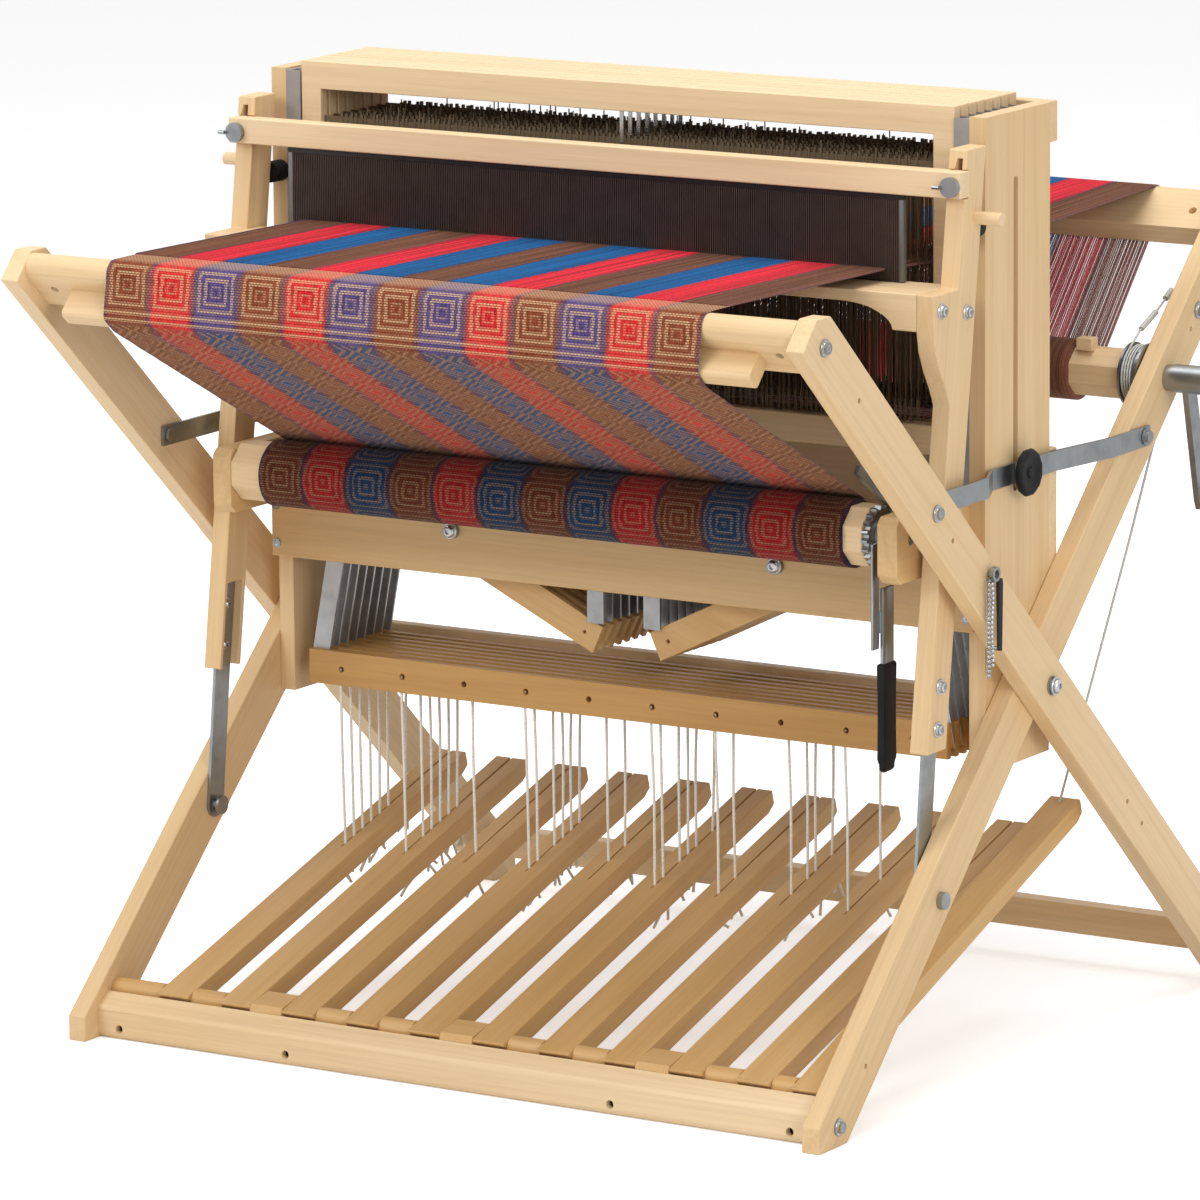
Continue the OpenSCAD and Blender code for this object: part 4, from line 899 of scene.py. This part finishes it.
def dome_bolt(bm, place, axis, radius=5.6 * MM, washer=8 * MM, high=1.0):
    """A domed bolt head with a round socket on a washer, standing on a face at place."""
    profile = [(washer, 0), (washer, 1.1 * MM), (washer - 0.5 * MM, 1.6 * MM),
               (radius, 1.6 * MM), (radius, 2.6 * MM), (radius * 0.86, 4.1 * MM),
               (radius * 0.62, 4.9 * MM), (radius * 0.42, 5.1 * MM), (radius * 0.36, 3.0 * MM),
               (0.0, 3.0 * MM)]
    lathe(bm, [(r, h * high) for r, h in profile], place, axis, 20)


class LOOM_OT_hardware(bpy.types.Operator):
    """Adds domed bolts, knobs, the ratchet's lever, bumpers and other fittings"""

    bl_idname = "loom.hardware"
    bl_label = "Hardware"

    def execute(self, context):
        for node in ("castle_hardware", "ratchet_wheel", "ratchet_pawl", "frame_a_hardware",
                     "frame_b_hardware", "slot_bolts", "front_links", "rear_links",
                     "beater_pivots", "beater_hardware", "brake_drum", "crank_handle"):
            repaint(node, "zinc")
        self.bolts()
        self.knobs()
        self.lever()
        self.guides()
        return {"FINISHED"}

    def bolts(self):
        """Domed heads over the plain heads of the frame's bolts."""
        front = bmesh.new()
        rear = bmesh.new()
        for side in (-1, 1):
            for y, z in (on_leg_a(554.5 * MM, -2 * MM), on_leg_a(289 * MM),
                         (PIVOT.y + 345 * MM, 45 * MM)):
                dome_bolt(front, (side * LEG_A_OUT, y, z), (side, 0, 0))
            for y, z in (on_leg_b(554.5 * MM, -2 * MM), on_leg_b(441 * MM),
                         (PIVOT.y - 358 * MM, 18.4 * MM)):
                dome_bolt(rear, (side * LEG_B_OUT, y, z), (side, 0, 0))
        add_piece("front_frame_bolts", front, "frame_a", "bright steel", 35)
        add_piece("rear_frame_bolts", rear, "frame_b", "bright steel", 35)
        castle = bmesh.new()
        for side in (-1, 1):
            dome_bolt(castle, (side * 177.5 * MM, APRON_FRONT - 4 * MM, 454.4 * MM), (0, -1, 0),
                      6.4 * MM, 7.6 * MM)
            for z in (424 * MM, 461 * MM):
                dome_bolt(castle, (side * 378 * MM, APRON_FRONT, z), (0, -1, 0),
                          3.6 * MM, 4.6 * MM, 0.34)
            dome_bolt(castle, (side * (LEG_A_OUT + 4 * MM), PIVOT.y, PIVOT.z), (side, 0, 0),
                      6.2 * MM, 8.6 * MM)
        add_piece("castle_bolts", castle, "castle", "bright steel", 35)
        beater = bmesh.new()
        for side in (-1, 1):
            for y, z in ((-153.5, 377.3), (-158.7, 339), (-150.7, 718.8), (-104.3, 711.4)):
                dome_bolt(beater, (side * SWORD_OUT, PIVOT.y + y * MM, z * MM), (side, 0, 0),
                          5.4 * MM, 7.4 * MM)
            for y, z in ((-153.5, 377.3), (-158.7, 339)):
                dome_bolt(beater, (side * STRAP_INNER, PIVOT.y + y * MM, z * MM), (-side, 0, 0),
                          4.6 * MM, 6.4 * MM)
        add_piece("beater_bolts", beater, "beater", "bright steel", 35)
        self.chain()

    def chain(self):
        """The release's bead chain in two strands, and its dark tapered pin."""
        x = LEG_A_OUT + 5.6 * MM
        y, z = on_leg_a(171 * MM, 12.4 * MM)
        beads = bmesh.new()
        for strand, sway in ((-10, 0.0), (-4.5, 1.2)):
            for i in range(20 if strand < -5 else 18):
                bead = bmesh.ops.create_uvsphere(beads, u_segments=8, v_segments=6,
                                                 radius=2.0 * MM)["verts"]
                bmesh.ops.translate(beads, vec=(
                    x, y + (strand + sway * math.sin(i * 0.5)) * MM, z - (8 + 4.4 * i) * MM),
                    verts=bead)
        add_piece("release_chain", beads, "frame_a", "bright steel", 60)
        pin = bmesh.new()
        lathe(pin, [(0, 0), (2.3 * MM, 0), (2.5 * MM, 1 * MM), (3.2 * MM, 62 * MM),
                    (2.8 * MM, 66 * MM), (0, 66 * MM)],
              (LEG_A_OUT + 5.5 * MM, y + 9.5 * MM, z - 71.5 * MM), (0, 0, 1), 16)
        bmesh.ops.recalc_face_normals(pin, faces=pin.faces)
        add_piece("release_pin", pin, "frame_a", "dark steel", 40)

    def knobs(self):
        """Round black knobs with a shallow dished face and a ribbed rim."""
        for side, word in ((-1, "left"), (1, "right")):
            low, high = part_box("knob_" + word)
            inner = low.x if side > 0 else high.x
            centre = Vector((inner + side * 3.3 * MM, PIVOT.y, 549.5 * MM))
            bm = bmesh.new()
            profile = [(0.0, 0.2 * MM), (10 * MM, 0.2 * MM), (10 * MM, 1.9 * MM),
                       (18 * MM, 1.9 * MM), (21 * MM, 3 * MM), (22.3 * MM, 5.4 * MM),
                       (21.6 * MM, 8 * MM), (19.6 * MM, 9.7 * MM), (16 * MM, 9.9 * MM),
                       (12 * MM, 8.4 * MM), (5.4 * MM, 8.0 * MM), (4.6 * MM, 9.4 * MM),
                       (0.0, 9.4 * MM)]
            lathe(bm, profile, centre, (side, 0, 0), 48)
            for vert in bm.verts:
                arm = Vector((0, vert.co.y - centre.y, vert.co.z - centre.z))
                if arm.length > 19 * MM:
                    turn = math.atan2(arm.z, arm.y)
                    vert.co -= arm * (0.018 * (1 + math.cos(turn * 12)))
            lathe(bm, [(0, -3.3 * MM), (3.9 * MM, -3.3 * MM), (3.9 * MM, 0.4 * MM),
                       (0, 0.4 * MM)], centre, (side, 0, 0), 20)
            bmesh.ops.recalc_face_normals(bm, faces=bm.faces)
            piece = add_piece("knob_%s_piece" % word, bm, word + "_knob", "black plastic",
                              30)
            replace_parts(piece, "knob_" + word)

    def lever(self):
        """The steel lever with its black grip."""
        low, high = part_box("advance_lever")
        bm = copy_of("advance_lever")
        bmesh.ops.bisect_plane(bm, geom=bm.verts[:] + bm.edges[:] + bm.faces[:],
                               plane_co=(0, 0, low.z + 98 * MM), plane_no=(0, 0, -1),
                               clear_outer=True)
        bmesh.ops.holes_fill(bm, edges=[e for e in bm.edges if e.is_boundary], sides=0)
        ease(bm, 0.4 * MM, 0.004)
        steel = add_piece("lever_steel", bm, "lever", "zinc", 40)
        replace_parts(steel, "advance_lever")
        bm = bmesh.new()
        box_into(bm, (low.x, low.y + 10 * MM, low.z), (high.x, low.y + 36 * MM, low.z + 101 * MM))
        bmesh.ops.subdivide_edges(bm, edges=[e for e in bm.edges if abs(
            e.verts[0].co.z - e.verts[1].co.z) > 0.01], cuts=15, use_grid_fill=True)
        middle = Vector(((low.x + high.x) / 2, low.y + 23 * MM, 0))
        for vert in bm.verts:
            share = (vert.co.z - low.z) / (101 * MM)
            swell = 1.03 - 0.08 * math.sin(share * math.pi)
            if share < 0.02:
                swell *= 0.66
            elif share < 0.07:
                swell *= 0.94
            vert.co.x = middle.x + (vert.co.x - middle.x) * min(1.0, swell)
            vert.co.y = middle.y + (vert.co.y - middle.y) * swell
        bmesh.ops.bevel(bm, geom=[e for e in bm.edges if e.calc_face_angle(0) > 0.9],
                        offset=3.4 * MM, segments=4, profile=0.5, affect="EDGES", material=-1)
        grip = add_piece("lever_grip", bm, "lever", "black plastic", 40)
        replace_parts(grip, "advance_lever")

    def guides(self):
        """Grey shaft guides, and round rubber bumpers that stop the beater."""
        eased("guides_and_bumpers", ["grey plastic", "black rubber"], 0.3 * MM,
              lambda p, n: int(p.y < CASTLE_FRONT - 0.2 * MM), 0.006)
        bm = bmesh.new()
        for side in (-1, 1):
            lathe(bm, [(0, 19.2 * MM), (6 * MM, 19 * MM), (9 * MM, 17.6 * MM),
                       (10.3 * MM, 14 * MM), (10.3 * MM, 3 * MM), (9.2 * MM, 0),
                       (0, 0)], (side * 378.5 * MM, CASTLE_FRONT, 782.5 * MM), (0, -1, 0), 32)
        add_piece("beater_bumpers", bm, "castle", "black rubber", 40)


class LOOM_OT_heddles(bpy.types.Operator):
    """Adds the wire heddles, their bars and the metal push bars of the shafts"""

    bl_idname = "loom.heddles"
    bl_label = "Heddles"

    def execute(self, context):
        count = context.scene.loom.heddles
        chance = random.Random(5)
        for group in ("odd", "even"):
            bm = bmesh.new()
            for i in range(0 if group == "odd" else 1, SHAFT_COUNT, 2):
                y = FIRST_SHAFT_Y + SHAFT_PITCH * i
                for k in range(count):
                    x = (k / (count - 1) * 2 - 1) * (CLOTH_HALF - 3 * MM)
                    x += chance.uniform(-1.4, 1.4) * MM + i * 0.5 * MM
                    self.heddle(bm, x, y, chance)
            wires = add_piece("heddles_%s_wires" % group, bm, "shaft_set_" + group,
                              "heddle steel", 60)
            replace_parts(wires, "heddles_" + group)
            bm = bmesh.new()
            for i in range(0 if group == "odd" else 1, SHAFT_COUNT, 2):
                self.bars(bm, FIRST_SHAFT_Y + SHAFT_PITCH * i)
            # dark heddle steel is painted shade on the upper bars, bright steel is painted highlight on the lower
            # bars and hooks
            bars = add_piece("heddles_%s_bars" % group, bm, "shaft_set_" + group,
                             ["heddle steel", "bright steel", "push bar steel"],
                             40)
            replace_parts(bars, "heddles_" + group)
        return {"FINISHED"}

    def heddle(self, bm, x, y, chance):
        """One flat heddle: end loops on both bars and an eye in the middle."""
        wide, deep = 0.55 * MM, 0.28 * MM
        low, high = HEDDLE_BARS
        lean = chance.uniform(-0.8, 0.8) * MM
        loop = 1.15 * MM
        tick = chance.uniform(3, 8) * MM if chance.random() < 0.14 else 0.0
        for z0, z1 in ((low + 9 * MM, EYE_Z - 6 * MM), (EYE_Z + 6 * MM, high - 11 * MM)):
            verts = box_into(bm, (x - wide, y - deep, z0), (x + wide, y + deep, z1))
            for vert in verts:
                vert.co.x += lean * (vert.co.z - EYE_Z) / (high - EYE_Z)
        for z0, z1, sign in ((low - 9 * MM, low + 11 * MM, -1), (high - 13 * MM, high + 6 * MM, 1)):
            shift = lean * sign
            box_into(bm, (x + shift - loop, y - 1.5 * MM, z0),
                     (x + shift + loop, y + 1.5 * MM, z1 + chance.uniform(0, 2) * MM * sign))
        if tick:
            box_into(bm, (x + lean - wide, y - deep, high + 5 * MM),
                     (x + lean + wide, y + deep, high + 8 * MM + tick))
        eye = bmesh.ops.create_circle(bm, cap_ends=False, radius=6.2 * MM, segments=6)["verts"]
        bmesh.ops.scale(bm, vec=(0.34, 1, 1), verts=eye)
        ring = list({e for v in eye for e in v.link_edges})
        made = bmesh.ops.extrude_edge_only(bm, edges=ring)
        inner = [g for g in made["geom"] if isinstance(g, bmesh.types.BMVert)]
        bmesh.ops.scale(bm, vec=(0.5, 0.8, 1), verts=inner)
        every = eye + inner
        bmesh.ops.rotate(bm, cent=(0, 0, 0), matrix=Matrix.Rotation(math.pi / 2, 3, "X"),
                         verts=every)
        bmesh.ops.translate(bm, vec=(x, y, EYE_Z), verts=every)

    def bars(self, bm, y):
        """The two heddle bars with their hooks, and the push bars down to the jacks."""
        half = 331 * MM
        low, high = HEDDLE_BARS
        # painted shade and painted highlight: the upper bar takes the dark heddle steel, and the lower bar and the
        # hooks the bright steel, though both bars are one steel
        for index, z in enumerate((high, low)):
            verts = box_into(bm, (-half, y - 1 * MM, z - 4 * MM), (half, y + 1 * MM, z + 4 * MM))
            self.paint(verts, index)
        self.paint(box_into(bm, (-2 * MM, y - 2.2 * MM, high), (2 * MM, y - 1 * MM, 863 * MM)), 1)
        self.paint(box_into(bm, (-2 * MM, y - 2.2 * MM, 594 * MM), (2 * MM, y - 1 * MM, low)), 1)
        push = y - 5.5 * MM
        for side in (-1, 1):
            a, b = sorted((side * 22 * MM, side * 40 * MM))
            self.paint(box_into(bm, (a, push, 376 * MM), (b, push + 2.5 * MM, 568 * MM)), 2)

    def paint(self, verts, index):
        """Gives the faces of some vertices one of the piece's finishes."""
        for face in {face for vert in verts for face in vert.link_faces}:
            face.material_index = index


class LOOM_OT_reed(bpy.types.Operator):
    """Adds the reed: its rails, ends and many steel blades"""

    bl_idname = "loom.reed"
    bl_label = "Reed"

    def execute(self, context):
        count = context.scene.loom.dents
        low, high = REED_LOW, REED_HIGH
        middle = (low.y + high.y) / 2
        bm = bmesh.new()
        for k in range(count):
            x = low.x + 5 * MM + (high.x - low.x - 10 * MM) * (k + 0.5) / count
            box_into(bm, (x - 0.3 * MM, middle - 1.7 * MM, low.z + 9 * MM),
                     (x + 0.3 * MM, middle + 1.7 * MM, high.z - 10 * MM))
        blades = add_piece("reed_blades", bm, "beater", "reed steel")
        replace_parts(blades, "reed")
        bm = bmesh.new()
        box_into(bm, low, (high.x, high.y, low.z + 10 * MM))
        box_into(bm, (low.x, low.y, high.z - 14 * MM), high)
        ease(bm, 0.8 * MM, 0.004)
        rails = add_piece("reed_rails", bm, "beater", "dark steel", 40)
        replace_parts(rails, "reed")
        bm = bmesh.new()
        for a, b in ((low.x, low.x + 5 * MM), (high.x - 5 * MM, high.x)):
            box_into(bm, (a, low.y + 0.2 * MM, low.z + 9 * MM),
                     (b, high.y - 0.2 * MM, high.z - 13 * MM))
        ease(bm, 0.6 * MM, 0.004)
        ends = add_piece("reed_ends", bm, "beater", "dull steel", 40)
        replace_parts(ends, "reed")
        return {"FINISHED"}


class LOOM_OT_cloth(bpy.types.Operator):
    """Adds the woven cloth, its roll and the roll of warp"""

    bl_idname = "loom.cloth"
    bl_label = "Cloth"

    def execute(self, context):
        gap = 0.9 * MM
        nose = on_leg_a(NOSE_REACH)
        corner = on_leg_a(555.5 * MM, -40 * MM)
        heel = on_leg_a(536.5 * MM, -40 * MM)
        roll_radius = (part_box("cloth_roll")[1].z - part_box("cloth_roll")[0].z) / 2
        over = arc(nose, NOSE_RADIUS + gap, 90, 182, 14)
        start = (PIVOT.y - 385 * MM, nose[1] + NOSE_RADIUS + gap)
        round_bar = [(corner[0] - 1.0 * MM, corner[1] + 2.6 * MM),
                     (corner[0] - 1.4 * MM, corner[1] + 0.6 * MM),
                     (corner[0] - 0.2 * MM, corner[1] - 1.6 * MM)]
        last = (heel[0] - 1.0 * MM, heel[1] - 1.2 * MM)
        # the line from the bar touches the roll's upper side
        touch = tangent_point(last, (CLOTH_AXIS.y, CLOTH_AXIS.z), roll_radius + 1.2 * MM)
        path = [start] + over + round_bar + [last, touch]
        cloth, length = sheet_along("woven_cloth_piece", path, CLOTH_HALF, None,
                                    "woven cloth", 96, 0.004, 0.5 * MM)
        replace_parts(cloth, "woven_cloth")
        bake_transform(cloth)
        self.roll("cloth_roll_piece", "cloth_roll", CLOTH_AXIS, roll_radius, "cloth on roll",
                  "woven", "cloth_beam_body")
        warp_radius = (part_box("warp_roll")[1].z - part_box("warp_roll")[0].z) / 2
        self.roll("warp_roll_piece", "warp_roll", WARP_AXIS, warp_radius, "warp yarn", "warp",
                  "warp_beam_body")
        return {"FINISHED"}

    def roll(self, name, node, axis, radius, finish, slot, body):
        """Many turns on a beam, a little uneven, with the ends of the turns showing."""
        low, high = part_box(node)
        turns = [(axis.y + (radius + 0.25 * MM * math.sin(5 * a)) * math.cos(a),
                  axis.z + (radius + 0.25 * MM * math.sin(5 * a)) * math.sin(a))
                 for a in [math.tau * i / 96 for i in range(97)]]
        half, middle = (high.x - low.x) / 2, (high.x + low.x) / 2
        piece, _ = sheet_along(name, turns, half, None, finish, 150, 0.0025, 0.0, True,
                               middle)
        bm = bmesh.new()
        bm.from_mesh(piece.data)
        for _ in range(1):
            rim = [e for e in bm.edges if e.is_boundary]
            made = bmesh.ops.extrude_edge_only(bm, edges=rim)
            verts = [g for g in made["geom"] if isinstance(g, bmesh.types.BMVert)]
            inner = 0.78
            for vert in verts:
                vert.co.y = axis.y + (vert.co.y - axis.y) * inner
                vert.co.z = axis.z + (vert.co.z - axis.z) * inner
        bmesh.ops.recalc_face_normals(bm, faces=bm.faces)
        bm.to_mesh(piece.data)
        bm.free()
        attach(piece, body)
        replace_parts(piece, node)


class LOOM_OT_warp(bpy.types.Operator):
    """Adds the warp threads, from the last woven row over the back beam to the warp roll"""

    bl_idname = "loom.warp"
    bl_label = "Warp"

    def execute(self, context):
        pitch = context.scene.loom.thread_pitch
        nose = on_leg_b(NOSE_REACH)
        front = on_leg_a(NOSE_REACH)
        radius = 1.12 * MM
        fell = (PIVOT.y - 386 * MM, front[1] + NOSE_RADIUS + 0.9 * MM)
        reed = ((REED_LOW.y + REED_HIGH.y) / 2, 745 * MM)
        off = 0.9 * MM
        roll = (WARP_AXIS.y, WARP_AXIS.z)
        roll_radius = (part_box("warp_roll")[1].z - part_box("warp_roll")[0].z) / 2 + off
        turn = tangent_turn(nose, NOSE_RADIUS + off, roll, roll_radius)
        over = arc(nose, NOSE_RADIUS + off, 92, math.degrees(turn) + 90, 10)
        end = (roll[0] - roll_radius * math.sin(turn), roll[1] + roll_radius * math.cos(turn))
        count = int(2 * (CLOTH_HALF - 1.5 * MM) / pitch)
        chance = random.Random(3)
        front_y, back_y = PIVOT.y - 192 * MM, PIVOT.y + 170 * MM
        groups = {"front": [], "odd": [], "even": [], "rear": [], "tail": []}
        for i in range(count):
            x = (i / (count - 1) * 2 - 1) * (CLOTH_HALF - 1.5 * MM) - 1.5 * MM
            shaft = chance.randrange(SHAFT_COUNT)
            eye = (FIRST_SHAFT_Y + SHAFT_PITCH * shaft, EYE_Z - 1.5 * MM)
            top = over[0]
            whole = [fell, reed, eye, top]

            def height(y):
                for a, b in zip(whole, whole[1:]):
                    if y <= b[0]:
                        return a[1] + (b[1] - a[1]) * (y - a[0]) / (b[0] - a[0])
                return top[1]

            def bit(y0, y1, steps):
                ys = [y0 + (y1 - y0) * k / steps for k in range(steps + 1)]
                ys = sorted(set(ys + [y for y, _ in (reed, eye) if y0 < y < y1]))
                return [Vector((x, y, height(y))) for y in ys]

            groups["front"].append(bit(fell[0], front_y, 12))
            groups["odd" if shaft % 2 == 0 else "even"].append(bit(front_y, back_y, 16))
            tail = [Vector((x + chance.uniform(-0.3, 0.3) * MM, y, z))
                    for y, z in over + [end]]
            groups["rear"].append(bit(back_y, top[0], 12))
            groups["tail"].append(tail)
        lines = {k: strands("warp_%s_threads" % k, v, radius, None, "warp yarn", 0)
                 for k, v in groups.items() if k != "tail"}
        # the threads behind the back beam take the warp finish paled by painted light
        lines["tail"] = strands("warp_tail_threads", groups["tail"], 0.95 * MM, "frame_b",
                                "faded warp yarn", 0)
        for group in ("front", "rear", "tail"):
            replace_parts(lines[group], "warp_threads")
        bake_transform(lines["front"])
        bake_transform(lines["rear"])
        for group in ("odd", "even"):
            self.shed(lines[group], group, front_y, back_y)
        return {"FINISHED"}

    def shed(self, piece, group, front_y, back_y):
        """Splits the threads at the middle of the shafts into a half before and a half behind; each half runs from
        the castle to the eyes.
        """
        bm = bmesh.new()
        bm.from_mesh(piece.data)
        other = bm.copy()
        middle = FIRST_SHAFT_Y + SHAFT_PITCH * 3.5
        for part, sign in ((bm, 1), (other, -1)):
            bmesh.ops.bisect_plane(part, geom=part.verts[:] + part.edges[:] + part.faces[:],
                                   plane_co=(0, middle, 0), plane_no=(0, sign, 0),
                                   clear_outer=True)
        name = piece.name
        bpy.data.objects.remove(piece)
        for part, word, edge in ((bm, "before", front_y), (other, "behind", back_y)):
            half = add_piece(name + "_" + word, part, None, "warp yarn", 60)
            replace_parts(half, "warp_threads")
            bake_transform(half)


class LOOM_OT_cords(bpy.types.Operator):
    """Adds the tie-up cords with their knots, and gives the brake cable a pale cord finish"""

    bl_idname = "loom.cords"
    bl_label = "Cords"

    TIES = ((1, 2, 3, 4, 5, 6, 8), (1, 3, 4, 5, 6, 7), (2,), (1, 2, 4, 5, 6, 7), (3, 5),
            (1, 2, 4, 5, 6, 8), (1, 3), (2, 4, 5, 7), (1, 5), ())

    def execute(self, context):
        chance = random.Random(21)
        pitch = (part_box("treadle_2")[0].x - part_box("treadle_1")[0].x)
        hole_z = 304 * MM
        under = 21 * MM
        cords = {"odd": [], "even": []}
        knots = {"odd": bmesh.new(), "even": bmesh.new()}
        for k, shafts in enumerate(self.TIES):
            x = (k - (TREADLE_COUNT - 1) / 2) * pitch
            for shaft in shafts:
                group = "odd" if shaft % 2 else "even"
                y = FIRST_SHAFT_Y + SHAFT_PITCH * (shaft - 1) - 9 * MM
                top = TREADLE_AXIS.z + 10.42 * MM + (y - TREADLE_AXIS.y) * math.tan(
                    math.radians(16.4))
                lean = 0.9 * MM * (shaft - 4.5)
                points = [Vector((x + lean, y, hole_z)),
                          Vector((x + lean * 0.9, y, hole_z - 30 * MM)),
                          Vector((x + lean * 0.5 + chance.uniform(-1, 1) * MM, y,
                                  (hole_z + top) / 2)),
                          Vector((x + lean * 0.1, y, top + 3 * MM)),
                          Vector((x, y, top - 8 * MM)), Vector((x, y, top - under))]
                cords[group].append(self.curved(points, 8))
                knot = bmesh.ops.create_uvsphere(knots[group], u_segments=10, v_segments=7,
                                                 radius=2.7 * MM)["verts"]
                bmesh.ops.scale(knots[group], vec=(1, 1, 1.25), verts=knot)
                bmesh.ops.translate(knots[group], vec=(x, y, top - under - 1 * MM), verts=knot)
                cords[group] += self.tassel(Vector((x, y, top - under - 2 * MM)), chance)
        for group, lines in cords.items():
            piece = strands("tie_up_cords_" + group, lines, 1.35 * MM, "lamm_set_" + group,
                            "cotton", 2)
            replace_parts(piece, "tie_up_cords")
            add_piece("tie_up_knots_" + group, knots[group], "lamm_set_" + group, "cotton",
                      60)
        repaint("brake_cable", "pale cord")
        return {"FINISHED"}

    def tassel(self, start, chance):
        """The loose ends below a knot, spread a little."""
        ends = []
        for _ in range(2):
            aim = Vector((chance.uniform(-9, 11), chance.uniform(-8, 6), chance.uniform(-22, -9)))
            bend = Vector((chance.uniform(-4, 6), chance.uniform(-4, 3), -3))
            ends.append(self.curved([start, start + bend * MM, start + aim * MM], 4))
        return ends

    def curved(self, points, steps):
        """A smooth line through points."""
        out = []
        ends = [points[0] * 2 - points[1]] + points + [points[-1] * 2 - points[-2]]
        for p0, p1, p2, p3 in zip(ends, ends[1:], ends[2:], ends[3:]):
            for i in range(steps):
                t = i / steps
                out.append(0.5 * ((2 * p1) + (p2 - p0) * t + (2 * p0 - 5 * p1 + 4 * p2 - p3)
                                  * t * t + (3 * p1 - p0 - 3 * p2 + p3) * t ** 3))
        out.append(points[-1])
        return out


OPERATORS = (LOOM_OT_stage, LOOM_OT_woodwork, LOOM_OT_hardware, LOOM_OT_heddles,
             LOOM_OT_reed, LOOM_OT_cloth, LOOM_OT_warp, LOOM_OT_cords)


class LOOM_PT_panel(bpy.types.Panel):
    bl_label = "Floor Loom"
    bl_idname = "LOOM_PT_panel"
    bl_space_type = "VIEW_3D"
    bl_region_type = "UI"
    bl_category = "Loom"

    def draw(self, context):
        for name in LoomLook.__annotations__:
            self.layout.prop(context.scene.loom, name)
        for operator in OPERATORS:
            self.layout.operator(operator.bl_idname)


def register():
    for item in (LoomLook,) + OPERATORS + (LOOM_PT_panel,):
        bpy.utils.register_class(item)
    bpy.types.Scene.loom = bpy.props.PointerProperty(type=LoomLook)


def unregister():
    del bpy.types.Scene.loom
    for item in reversed((LoomLook,) + OPERATORS + (LOOM_PT_panel,)):
        bpy.utils.unregister_class(item)


def main():
    register()
    make_finishes()
    bpy.ops.loom.stage()
    bpy.ops.loom.cords()
    bpy.ops.loom.woodwork()
    bpy.ops.loom.hardware()
    bpy.ops.loom.heddles()
    bpy.ops.loom.reed()
    bpy.ops.loom.cloth()
    bpy.ops.loom.warp()


if __name__ == "__main__":
    main()
